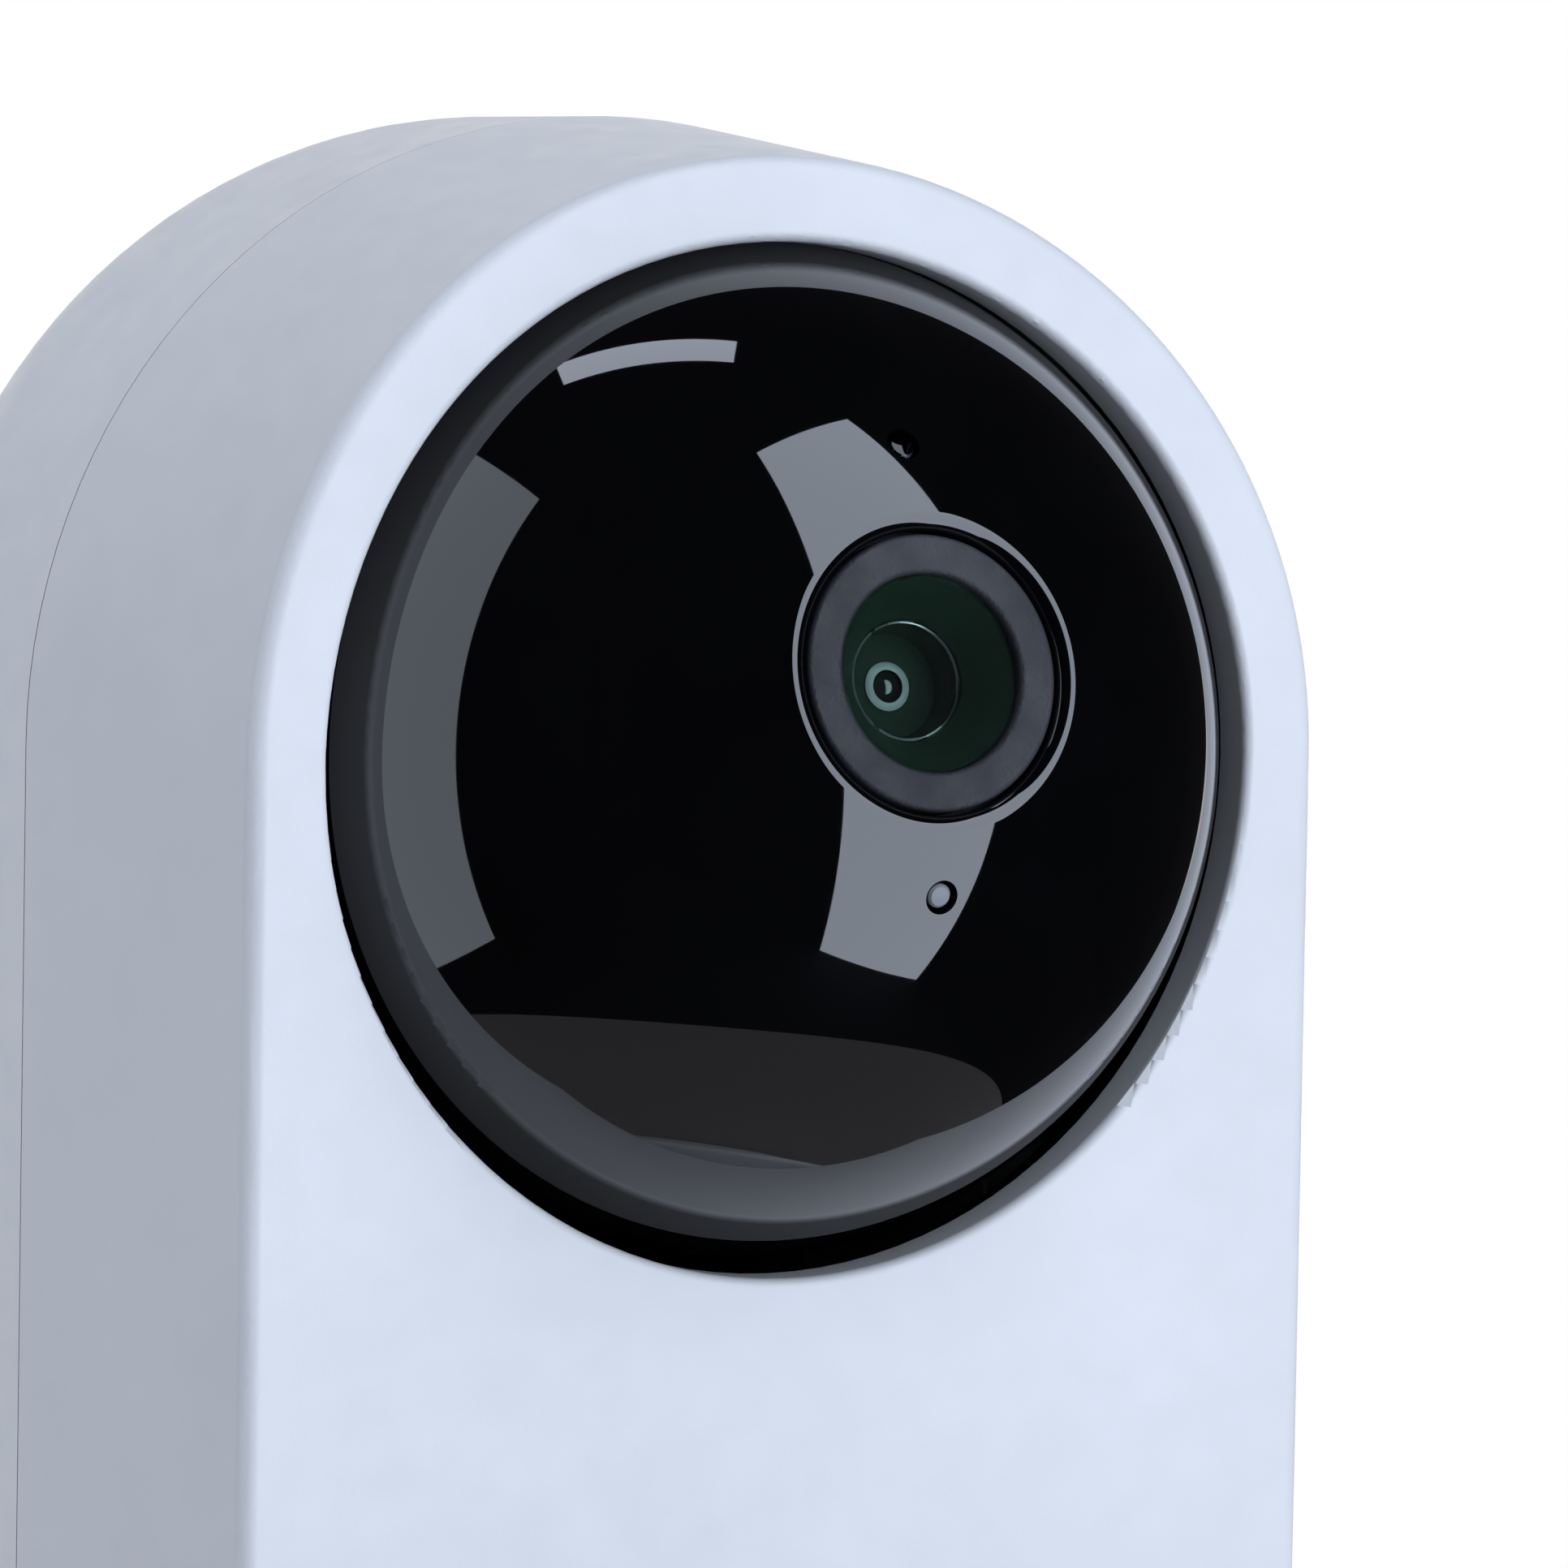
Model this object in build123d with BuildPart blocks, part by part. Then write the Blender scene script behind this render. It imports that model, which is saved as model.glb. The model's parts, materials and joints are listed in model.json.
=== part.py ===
from build123d import *
import math
import os

# Indoor pan and tilt security camera: a round base, an arched body that pans on it, and a
# ball with the lens that tilts in the round window of the body.
# Millimetres, +Z up, front towards -Y. The origin is on the pan axis, at the mouth of the tripod hole.

# Body outline
face_y = -29.0
seam_y = -3.0
back_y = 29.0
eye_z = 80.0
seam_half_width = 37.3
side_draft = 5.71
body_bottom_z = 16.8
back_round = 17.0
wall = 2.0
face_wall = 3.0
face_lean_radius = 208.0
face_lean_sweep = 13
rim_round = 1.1
rim_search = 4.0
window_search = 3.2
seam_gap = 0.12

# Window and bezel
window_radius = 30.0
window_round = 0.6
bezel_setback = 0.8
bezel_bore = 29.4
bezel_depth = 6.6
bezel_clearance = 0.1
bezel_flange_radius = 32.4
bezel_ear_circle = 34.4
bezel_ear_radius = 2.6
bezel_ear_angles = (225, 315)
bezel_screw_bite = 1.9
ball_gap = 0.5

# Ball and its place in the window
ball_radius = 30.2
ball_wall = 1.8
ball_setback = 12.6
ball_rise = 0.3
lens_tilt = 11.4
ball_split = 5.0
ball_split_gap = 0.1
ball_screw_places = ((0, 25.0), (-15.8, -19.4), (15.8, -19.4))
ball_boss_radius = 2.4
ball_boss_front = 12.0
ball_well_radius = 3.2
ball_screw_seat = 12.0
ball_screw_bite = 5.0
cable_slot = (8.0, 3.0)
cable_slot_x = -8.0
pin_radius = 1.0
pin_clearance = 0.05
press_clearance = 0.02
pin_boss_radius = 2.8
pin_boss_length = 4.5

# Lens
lens_hole_radius = 8.1
lens_hole_round = 0.8
ring_radius = 7.8
ring_bore = 5.65
ring_front = 28.6
ring_back = 25.5
ring_flange_radius = 9.0
ring_flange_depth = 1.2
ring_edge_round = 0.25
fit_gap = 0.1
glass_dome = 1.1
glass_edge = 1.2
barrel_radius = 6.0
barrel_head_radius = 7.4
barrel_head_length = 4.0
barrel_back = 9.3
middle_glass_radius = 3.4
middle_glass_front = 22.9
middle_glass_thick = 2.2
rear_glass_radius = 2.7
rear_glass_front = 14.8
rear_glass_thick = 2.0
stop_radius = 1.4
stop_back = 16.8
barrel_mouth_radius = 5.0

# Small windows in the ball, above and below the lens
peep_angles = (25.7, -24.4)
peep_radius = 1.0
peep_recess = 0.7
peep_length = 2.9
peep_flange_radius = 1.7
peep_flange_thick = 1.2

# Boards in the ball
board_thick = 1.2
board_corner = 2.0
sensor_board_size = (34.0, 20.0)
sensor_board_front = 6.8
sensor_screw_bite = 4.0
column_spread = (13.4, 7.7)
column_radius = 2.4
column_tip_radius = 1.4
column_hole_depth = 5.0
led_board_back = 18.1
led_board_radius = 17.8
led_board_bore = 8.2
led_ring_radius = 12.0
led_radius = 1.5
led_height = 2.4
led_count = 6
holder_size = 15.0
holder_corner = 1.0
holder_height = 7.5
holder_hollow = (12.0, 2.0)
chip_size = (8.0, 7.0, 1.0)

# Tilt drive: a geared motor in the ball, on the tilt axis, its shaft held by the right arm
tilt_motor_radius = 7.5
tilt_motor_start = 17.6
tilt_motor_end = 27.3
motor_collar_start = 20.0
motor_collar_wall = 1.5
shaft_radius = 1.0
shaft_clearance = 0.05
shaft_reach = 3.0
shaft_end_gap = 0.5
shaft_hole_gap = 0.4

# Tilt arms and chassis
arm_x = 31.0
arm_thick = 2.2
arm_height = 8.0
arm_boss_radius = 2.6
arm_neck_length = 8.0
arm_foot = 4.6
arm_foot_thick = 2.0
arm_screw_spread = 3.5
chassis_y = 17.0
chassis_thick = 1.8
chassis_half_width = 25.5
chassis_bar_half_width = 31.0
chassis_bar_height = 12.0
chassis_bottom_z = 42.0
chassis_top_z = 104.0
chassis_corner = 14.0
leg_inner_x = 18.5
leg_outer_x = 25.5
leg_foot_thick = 2.0
leg_foot_depth = 6.0

# Base
base_radius = 33.0
base_wall = 2.0
base_top_z = 15.5
base_edge_round = 1.5
foot_height = 1.0
foot_thick = 1.6
foot_inner = 22.0
foot_outer = 29.0
foot_round = 0.4
base_plate_thick = 2.5
slip_gap = 0.15
insert_radius = 4.45
insert_length = 8.0
insert_gap = 0.05
insert_groove_shares = (0.3, 0.7)
insert_groove_width = 0.8
insert_groove_depth = 0.4
tripod_hole_radius = 2.6
tripod_hole_depth = 7.0
insert_boss_wall = 2.0
base_screw_circle = 17.0
base_screw_count = 3
ballast_thick = 4.5
ballast_inner = 20.6

# Pan bearing and drive
post_radius = 9.0
post_clearance = 0.06
spigot_radius = 7.0
washer_thick = 0.8
washer_radius = 16.0
washer_gap = 0.5
floor_gap = 0.1
floor_thick = 2.6
pan_module = 0.6
tooth_tip = 0.8
tooth_root = 1.15
tooth_shares = (0.34, 0.215, 0.1)
mesh_slack = 0.1
pinion_end_gap = 0.2
pan_teeth = 50
pan_pinion_teeth = 16
pan_gear_gap = 0.3
pan_gear_thick = 4.0
retainer_radius = 10.0
retainer_thick = 0.8
pan_motor_radius = 10.0
pan_motor_height = 14.0
pan_motor_offset = 8.0
pan_motor_gap = 2.4
motor_ear_reach = 14.0
motor_ear_thick = 1.0
motor_ear_margin = 2.0
motor_edge_round = 0.8
motor_screw_bite = 4.0
standoff_radius = 2.2

# Screws
screw_radius = 1.0
screw_head_radius = 1.9
screw_head_height = 1.3
screw_gap = 0.1
screw_tip_gap = 1.0
screw_head_round = 0.4
recess_size = (2.2, 0.5)
recess_depth = 0.6
housing_screw_x = 30.5
housing_screw_heights = (26.0, 52.0)
housing_boss_radius = 3.0
housing_screw_seat_y = 8.0
housing_screw_bite = 9.0
housing_hole_depth = 12.0
housing_well_radius = 3.2

# Electronics in the body
main_board_size = (44.0, 31.0)
main_board_z = 56.5
main_board_gap = 2.0
main_board_thick = 1.6
board_screw_inset = 3.0
shield_size = (18.0, 14.0, 2.2)
shield_corner = 0.8
shield_z = 63.0
usb_size = (7.6, 2.8)
usb_z = 47.0
usb_recess = 0.6
usb_gap = 0.4
usb_shell = 0.35
usb_depth = 5.0
usb_tongue = (5.4, 0.7)
reset_x = 13.0
button_radius = 1.5
button_clearance = 0.08
button_travel = 0.5
button_flange_radius = 2.4
switch_height = 1.4
switch_size = 5.0
switch_stem_radius = 1.2
switch_stem_height = 0.4
button_gap = 0.3
button_flange_thick = 0.8
speaker_radius = 11.5
speaker_z = 87.0
speaker_depth = 5.0
speaker_wall = 1.2
cone_thick = 0.5
cone_depth = 2.0
cone_inset = 0.7
cap_radius = 3.2
cap_height = 0.8
grille_hole_radius = 0.6
grille_pitch = 2.0
grille_rings = 4
speaker_collar_wall = 1.0
speaker_collar_length = 3.0
antenna_size = (6.0, 0.8, 24.0)
antenna_x = -20.5
antenna_z = 84.0

# Worked out from the sizes above
ball_center = Vector(0, face_y + ball_setback, eye_z + ball_rise)
lens_direction = Vector(0, -math.cos(math.radians(lens_tilt)), math.sin(math.radians(lens_tilt)))
ball_plane = Plane(origin=ball_center, x_dir=(1, 0, 0), z_dir=lens_direction)
face_half_width = seam_half_width - (seam_y - face_y) * math.tan(math.radians(side_draft))
base_plate_z = 0.0
base_plate_top = base_plate_z + base_plate_thick
floor_z = base_top_z + washer_thick + floor_gap
floor_top = floor_z + floor_thick
pan_gear_z = floor_top + pan_gear_gap
pan_gear_top = pan_gear_z + pan_gear_thick
pan_motor_z = pan_gear_top + pan_motor_gap
pan_shaft_y = pan_module * (pan_teeth + pan_pinion_teeth) / 2 + mesh_slack
pan_motor_y = pan_shaft_y - pan_motor_offset
chassis_back = chassis_y + chassis_thick
board_y = chassis_back + main_board_gap
board_back = board_y + main_board_thick

os.makedirs("parts", exist_ok=True)


def finish(builder, name):
    """Label a finished piece and write it."""
    builder.part.label = name
    export_step(builder.part, f"parts/{name}.step")


def front_region(depth):
    """Everything ahead of the front face once that face is moved back by depth.

    The face is flat below the middle of the window and leans back above it."""
    with BuildPart() as region:
        with BuildSketch(Plane.YZ):
            with BuildLine():
                lean = CenterArc((face_y + face_lean_radius, eye_z), face_lean_radius - depth, 180,
                                 -face_lean_sweep)
                Polyline(lean @ 0, (face_y + depth, -back_round), (2 * face_y, -back_round),
                         (2 * face_y, (lean @ 1).Y), lean @ 1)
            make_face()
        extrude(amount=2 * seam_half_width, both=True)
    return region.part


def arch(half_width, y):
    """An upright arch in the plane at y, reaching below the body so that it can be cut off level."""
    with BuildSketch(Plane.XZ.offset(-y)) as outline:
        with BuildLine():
            CenterArc((0, eye_z), half_width, 0, 180)
            Polyline((-half_width, eye_z), (-half_width, -back_round), (half_width, -back_round),
                     (half_width, eye_z))
        make_face()
    return outline.sketch


def below_body():
    """The space under the body, cut away from both housings."""
    with BuildPart() as space:
        with Locations((0, 0, body_bottom_z)):
            Box(4 * seam_half_width, 4 * back_y, 4 * back_y, align=(Align.CENTER, Align.CENTER, Align.MAX))
    return space.part


def gear_outline(module, teeth, facing):
    """Toothed outline about the origin, with a gap centred on the direction facing, in degrees.

    The teeth are a little thin and short, for backlash."""
    pitch = module * teeth / 2
    tip = pitch + tooth_tip * module
    root = pitch - tooth_root * module
    step = 2 * math.pi / teeth
    rising = list(zip((root, pitch, tip), tooth_shares))
    flank = [(radius, -share) for radius, share in rising] + rising[::-1]
    points = []
    for index in range(teeth):
        middle = math.radians(facing) + (index + 0.5) * step
        for radius, share in flank:
            angle = middle + share * step
            points.append((radius * math.cos(angle), radius * math.sin(angle)))
    return points


def screw(length):
    """Pan head screw with its head's seat at the origin, pointing along +Z, with a cross recess."""
    with BuildPart() as body:
        Cylinder(screw_radius, length, align=(Align.CENTER, Align.CENTER, Align.MIN))
        Cylinder(screw_head_radius, screw_head_height, align=(Align.CENTER, Align.CENTER, Align.MAX))
        fillet(body.edges().sort_by(Axis.Z)[0], screw_head_round)
        with Locations((0, 0, -screw_head_height)):
            for turn in (0, 90):
                Box(*recess_size, 2 * recess_depth, rotation=(0, 0, turn), mode=Mode.SUBTRACT)
    return body.part


def screws_at(places, length, name):
    """A group of equal screws; each place is the plane of the head's seat, its z along the screw."""
    one = screw(length)
    with BuildPart() as group:
        for place in places:
            add(place.location * one)
    finish(group, name)


# Base: foot, plate, ballast, tripod insert and cover

with BuildPart() as rubber_foot:
    with BuildSketch(Plane.XY.offset(-foot_height)):
        Circle(foot_outer)
        Circle(foot_inner, mode=Mode.SUBTRACT)
    extrude(amount=foot_thick)
    fillet(rubber_foot.edges().group_by(Axis.Z)[0], foot_round)
finish(rubber_foot, "rubber_foot")

plate_radius = base_radius - base_wall - slip_gap
with BuildPart() as base_plate:
    with BuildSketch(Plane.XY.offset(base_plate_z)):
        Circle(plate_radius)
    extrude(amount=base_plate_thick)
    with BuildSketch(Plane.XY.offset(base_plate_top)):
        Circle(insert_radius + insert_gap + insert_boss_wall)
    extrude(amount=base_plate_z + insert_length - base_plate_top)
    with BuildSketch(Plane.XY.offset(base_plate_z)):
        Circle(insert_radius + insert_gap)
    extrude(amount=insert_length, mode=Mode.SUBTRACT)
    with BuildSketch(Plane.XY.offset(base_plate_z)):
        Circle(foot_outer + slip_gap)
        Circle(foot_inner - slip_gap, mode=Mode.SUBTRACT)
    extrude(amount=foot_thick - foot_height, mode=Mode.SUBTRACT)
    for radius, depth in ((screw_radius + screw_gap, base_plate_thick),
                          (screw_head_radius + 2 * screw_gap, screw_head_height + screw_gap)):
        with BuildSketch(Plane.XY.offset(base_plate_z)):
            with PolarLocations(base_screw_circle, base_screw_count, start_angle=90):
                Circle(radius)
        extrude(amount=depth, mode=Mode.SUBTRACT)
finish(base_plate, "base_plate")

with BuildPart() as tripod_insert:
    with BuildSketch(Plane.XY.offset(base_plate_z)):
        Circle(insert_radius)
    extrude(amount=insert_length)
    for groove_share in insert_groove_shares:
        with BuildSketch(Plane.XY.offset(base_plate_z + insert_length * groove_share)):
            Circle(insert_radius)
            Circle(insert_radius - insert_groove_depth, mode=Mode.SUBTRACT)
        extrude(amount=insert_groove_width, mode=Mode.SUBTRACT)
    with BuildSketch(Plane.XY.offset(base_plate_z)):
        Circle(tripod_hole_radius)
    extrude(amount=tripod_hole_depth, mode=Mode.SUBTRACT)
finish(tripod_insert, "tripod_insert")

with BuildPart() as ballast_plate:
    with BuildSketch(Plane.XY.offset(base_plate_top)):
        Circle(plate_radius - slip_gap)
        Circle(ballast_inner, mode=Mode.SUBTRACT)
    extrude(amount=ballast_thick)
finish(ballast_plate, "ballast_plate")

with BuildPart() as base_cover:
    with BuildSketch(Plane.XY.offset(base_plate_z)):
        Circle(base_radius)
    extrude(amount=base_top_z - base_plate_z)
    fillet(base_cover.edges().group_by(Axis.Z)[-1], base_edge_round)
    with BuildSketch(Plane.XY.offset(base_plate_z)):
        Circle(base_radius - base_wall)
    extrude(amount=base_top_z - base_wall - base_plate_z, mode=Mode.SUBTRACT)
    with BuildSketch(Plane.XY.offset(base_plate_top)):
        with PolarLocations(base_screw_circle, base_screw_count, start_angle=90):
            Circle(screw_radius + base_wall)
    extrude(amount=base_top_z - base_wall - base_plate_top)
    with BuildSketch(Plane.XY.offset(base_plate_top)):
        with PolarLocations(base_screw_circle, base_screw_count, start_angle=90):
            Circle(screw_radius + screw_gap)
    extrude(amount=base_top_z - 2 * base_wall - base_plate_top, mode=Mode.SUBTRACT)
    with BuildSketch(Plane.XY.offset(base_top_z)):
        Circle(post_radius)
    extrude(amount=pan_gear_z - base_top_z)
    with BuildSketch(Plane.XY.offset(pan_gear_z)):
        Circle(spigot_radius)
    extrude(amount=pan_gear_thick)
    with BuildSketch(Plane.XY.offset(pan_gear_top)):
        Circle(screw_radius + screw_gap)
    extrude(amount=base_top_z - base_wall / 2 - pan_gear_top, mode=Mode.SUBTRACT)
finish(base_cover, "base_cover")

base_screw_seat = base_plate_z + screw_head_height + screw_gap
base_screw_length = base_top_z - 2 * base_wall - base_screw_seat - screw_tip_gap
screws_at(
    [Plane(origin=(base_screw_circle * math.cos(math.radians(turn)),
                   base_screw_circle * math.sin(math.radians(turn)), base_screw_seat))
     for turn in (90 + index * 360 / base_screw_count for index in range(base_screw_count))],
    base_screw_length, "base_screws")

# Pan bearing and drive

with BuildPart() as thrust_washer:
    with BuildSketch(Plane.XY.offset(base_top_z)):
        Circle(washer_radius)
        Circle(post_radius + washer_gap, mode=Mode.SUBTRACT)
    extrude(amount=washer_thick)
finish(thrust_washer, "thrust_washer")

with BuildPart() as pan_gear:
    with BuildSketch(Plane.XY.offset(pan_gear_z)):
        with BuildLine():
            Polyline(gear_outline(pan_module, pan_teeth, 90), close=True)
        make_face()
        Circle(spigot_radius + press_clearance, mode=Mode.SUBTRACT)
    extrude(amount=pan_gear_thick)
finish(pan_gear, "pan_gear")

with BuildPart() as gear_retainer:
    with BuildSketch(Plane.XY.offset(pan_gear_top)):
        Circle(retainer_radius)
        Circle(screw_radius + screw_gap, mode=Mode.SUBTRACT)
    extrude(amount=retainer_thick)
finish(gear_retainer, "gear_retainer")

screws_at([Plane(origin=(0, 0, pan_gear_top + retainer_thick), x_dir=(1, 0, 0), z_dir=(0, 0, -1))],
          pan_gear_top - base_top_z, "gear_screw")

with BuildPart() as pan_pinion:
    pinion_plane = Plane(origin=(0, pan_shaft_y, pan_gear_z + pinion_end_gap))
    with BuildSketch(pinion_plane):
        with BuildLine():
            facing_gear = 270 + 180 / pan_pinion_teeth
            Polyline(gear_outline(pan_module, pan_pinion_teeth, facing_gear), close=True)
        make_face()
    extrude(amount=pan_gear_thick - 2 * pinion_end_gap)
    with BuildSketch(pinion_plane):
        Circle(shaft_radius)
    extrude(amount=pan_motor_z + shaft_reach - pan_gear_z - pinion_end_gap)
finish(pan_pinion, "pan_pinion")

with BuildPart() as pan_motor:
    with BuildSketch(Plane.XY.offset(pan_motor_z)):
        with Locations((0, pan_motor_y)):
            Circle(pan_motor_radius)
    extrude(amount=pan_motor_height)
    fillet(pan_motor.edges().group_by(Axis.Z)[-1], motor_edge_round)
    with BuildSketch(Plane.XY.offset(pan_motor_z)):
        with Locations((0, pan_motor_y)):
            SlotCenterToCenter(2 * motor_ear_reach, 2 * (screw_radius + motor_ear_margin))
    extrude(amount=motor_ear_thick)
    with BuildSketch(Plane.XY.offset(pan_motor_z)):
        with Locations((-motor_ear_reach, pan_motor_y), (motor_ear_reach, pan_motor_y)):
            Circle(screw_radius + screw_gap)
    extrude(amount=motor_ear_thick, mode=Mode.SUBTRACT)
    with BuildSketch(Plane.XY.offset(pan_motor_z)):
        with Locations((0, pan_shaft_y)):
            Circle(shaft_radius + shaft_clearance)
    extrude(amount=shaft_reach + shaft_end_gap, mode=Mode.SUBTRACT)
finish(pan_motor, "pan_motor")

screws_at([Plane(origin=(x, pan_motor_y, pan_motor_z + motor_ear_thick), x_dir=(1, 0, 0), z_dir=(0, 0, -1))
           for x in (-motor_ear_reach, motor_ear_reach)],
          motor_ear_thick + motor_screw_bite, "pan_motor_screws")

# Body floor, which turns on the post of the base

inner_half_width = seam_half_width - wall
inner_front_half_width = face_half_width + face_wall * math.tan(math.radians(side_draft)) - wall
with BuildPart() as turntable:
    with BuildSketch(Plane.XY.offset(floor_z)) as floor_outline:
        with BuildLine():
            Polyline((-inner_front_half_width, face_y + face_wall),
                     (inner_front_half_width, face_y + face_wall),
                     (inner_half_width, seam_y), (inner_half_width, back_y - wall),
                     (-inner_half_width, back_y - wall), (-inner_half_width, seam_y), close=True)
        make_face()
        fillet(floor_outline.vertices().group_by(Axis.Y)[-1], back_round - wall)
        offset(amount=-slip_gap, mode=Mode.REPLACE)
        Circle(post_radius + post_clearance, mode=Mode.SUBTRACT)
    extrude(amount=floor_thick)
    with BuildSketch(Plane.XY.offset(floor_top)):
        with Locations((-motor_ear_reach, pan_motor_y), (motor_ear_reach, pan_motor_y)):
            Circle(standoff_radius)
    extrude(amount=pan_motor_z - floor_top)
    with BuildSketch(Plane.XY.offset(pan_motor_z)):
        with Locations((-motor_ear_reach, pan_motor_y), (motor_ear_reach, pan_motor_y)):
            Circle(screw_radius + screw_gap)
    extrude(amount=-(motor_screw_bite + screw_gap), mode=Mode.SUBTRACT)
    leg_x = (leg_inner_x + leg_outer_x) / 2
    leg_screw_y = chassis_y - leg_foot_depth / 2
    with BuildSketch(Plane.XY.offset(floor_top)):
        with Locations((-leg_x, leg_screw_y), (leg_x, leg_screw_y)):
            Circle(screw_radius + screw_gap)
    extrude(amount=-floor_thick, mode=Mode.SUBTRACT)
finish(turntable, "turntable")

# Front housing: arched, drafted from the seam to the face, with a small rounding round the window


def front_outer():
    """Outer form of the front housing, with its rim rounded."""
    ahead = front_region(0)
    under = below_body()
    profile = arch(seam_half_width, seam_y)
    with BuildPart() as outer:
        extrude(profile, amount=seam_y - face_y, dir=(0, -1, 0), taper=side_draft)
        add(ahead, mode=Mode.SUBTRACT)
        add(under, mode=Mode.SUBTRACT)
        rim = outer.edges().filter_by(
            lambda edge: edge.bounding_box().max.Y < face_y + rim_search
            and abs(edge.center().Z - eye_z) > screw_radius)
        fillet(rim, rim_round)
    return outer.part


def front_inner():
    """Hollow of the front housing, parallel to its face."""
    ahead = front_region(face_wall)
    profile = arch(seam_half_width - wall, seam_y)
    with BuildPart() as inner:
        extrude(profile, amount=seam_y - face_y, dir=(0, -1, 0), taper=side_draft)
        add(ahead, mode=Mode.SUBTRACT)
    return inner.part


bezel_screw_angles = [math.radians(angle) for angle in bezel_ear_angles]
bezel_ear_places = [(bezel_ear_circle * math.cos(angle), bezel_ear_circle * math.sin(angle))
                    for angle in bezel_screw_angles]
housing_screw_places = [(x, z) for x in (-housing_screw_x, housing_screw_x) for z in housing_screw_heights]
front_shell_outer = front_outer()
front_shell_inner = front_inner()
window_plane = Plane(origin=(0, face_y, eye_z), x_dir=(1, 0, 0), z_dir=(0, -1, 0))
with BuildPart() as front_bosses:
    with BuildSketch(Plane.XZ.offset(-seam_y)):
        with Locations(*housing_screw_places):
            Circle(housing_boss_radius)
    extrude(amount=seam_y - face_y)
    add(front_shell_outer, mode=Mode.INTERSECT)

with BuildPart() as front_housing:
    add(front_shell_outer)
    with BuildSketch(window_plane):
        Circle(window_radius)
    extrude(amount=-(seam_y - face_y), mode=Mode.SUBTRACT)
    window_edges = front_housing.edges().filter_by(
        lambda edge: edge.bounding_box().max.Y < face_y + window_search
        and abs(edge.bounding_box().size.X / 2 - window_radius) < fit_gap)
    fillet(window_edges, window_round)
    add(front_shell_inner, mode=Mode.SUBTRACT)
    add(front_bosses.part)
    with BuildSketch(Plane.XZ.offset(-seam_y)):
        with Locations(*housing_screw_places):
            Circle(screw_radius + screw_gap)
    extrude(amount=housing_hole_depth, mode=Mode.SUBTRACT)
    with BuildSketch(window_plane.offset(-bezel_depth)):
        with Locations(*bezel_ear_places):
            Circle(screw_radius + screw_gap)
    extrude(amount=bezel_depth - face_wall + bezel_screw_bite + screw_gap, mode=Mode.SUBTRACT)
finish(front_housing, "front_housing")

# Rear housing: rounded at the back, with the grille, the power opening and the screw wells


def rear_form(half_width, start_y, end_y, round_radius):
    """Arch from start_y back to end_y with its rear edge rounded."""
    profile = arch(half_width, start_y)
    with BuildPart() as form:
        extrude(profile, amount=end_y - start_y, dir=(0, 1, 0))
        fillet(form.edges().group_by(Axis.Y)[-1], round_radius)
    return form.part


rear_shell_outer = rear_form(seam_half_width, seam_y + seam_gap, back_y, back_round)
rear_shell_inner = rear_form(seam_half_width - wall, seam_y + seam_gap, back_y - wall, back_round - wall)
under_body = below_body()
rear_wall_plane = Plane(origin=(0, back_y, 0), x_dir=(1, 0, 0), z_dir=(0, -1, 0))
with BuildPart() as rear_bosses:
    with BuildSketch(Plane.XZ.offset(-(seam_y + seam_gap))):
        with Locations(*housing_screw_places):
            Circle(housing_well_radius)
    extrude(amount=-(back_y - seam_y))
    add(rear_shell_outer, mode=Mode.INTERSECT)

with BuildPart() as rear_housing:
    add(rear_shell_outer)
    add(rear_shell_inner, mode=Mode.SUBTRACT)
    add(rear_bosses.part)
    with BuildSketch(rear_wall_plane.offset(wall)):
        with Locations((0, speaker_z)):
            Circle(speaker_radius + slip_gap + speaker_collar_wall)
            Circle(speaker_radius + slip_gap, mode=Mode.SUBTRACT)
    extrude(amount=speaker_collar_length)
    add(under_body, mode=Mode.SUBTRACT)
    with BuildSketch(rear_wall_plane):
        with Locations(*housing_screw_places):
            Circle(screw_head_radius + 2 * screw_gap)
    extrude(amount=back_y - housing_screw_seat_y, mode=Mode.SUBTRACT)
    with BuildSketch(rear_wall_plane):
        with Locations(*housing_screw_places):
            Circle(screw_radius + screw_gap)
        with Locations((0, usb_z)):
            SlotOverall(usb_size[0] + 2 * usb_gap, usb_size[1] + 2 * usb_gap)
        with Locations((reset_x, usb_z)):
            Circle(button_radius + button_clearance)
        with Locations((0, speaker_z)):
            Circle(grille_hole_radius)
            for ring in range(1, grille_rings + 1):
                with PolarLocations(ring * grille_pitch, 6 * ring):
                    Circle(grille_hole_radius)
    extrude(amount=back_y - seam_y, mode=Mode.SUBTRACT)
finish(rear_housing, "rear_housing")

screws_at([Plane(origin=(x, housing_screw_seat_y, z), x_dir=(1, 0, 0), z_dir=(0, -1, 0))
           for x, z in housing_screw_places],
          housing_screw_seat_y - seam_y + housing_screw_bite, "housing_screws")

# Bezel ring: a thin black lip in the window and a flange behind the face, bored to follow the ball

ahead_of_lip = front_region(bezel_setback)
ahead_of_flange = front_region(face_wall + fit_gap)
with BuildPart() as bezel_lip:
    with BuildSketch(window_plane):
        Circle(window_radius - bezel_clearance)
    extrude(amount=-bezel_depth)
    add(ahead_of_lip, mode=Mode.SUBTRACT)

with BuildPart() as bezel_ring:
    with BuildSketch(window_plane.offset(-bezel_depth)):
        Circle(bezel_flange_radius)
        with Locations(*bezel_ear_places):
            Circle(bezel_ear_radius)
        with Locations(*bezel_ear_places):
            Circle(screw_radius + screw_gap, mode=Mode.SUBTRACT)
    extrude(amount=bezel_depth)
    add(ahead_of_flange, mode=Mode.SUBTRACT)
    add(bezel_lip.part)
    with Locations(ball_center):
        Sphere(ball_radius + ball_gap, mode=Mode.SUBTRACT)
    with BuildSketch(window_plane):
        Circle(bezel_bore)
    extrude(amount=-bezel_depth, mode=Mode.SUBTRACT)
finish(bezel_ring, "bezel_ring")

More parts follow.
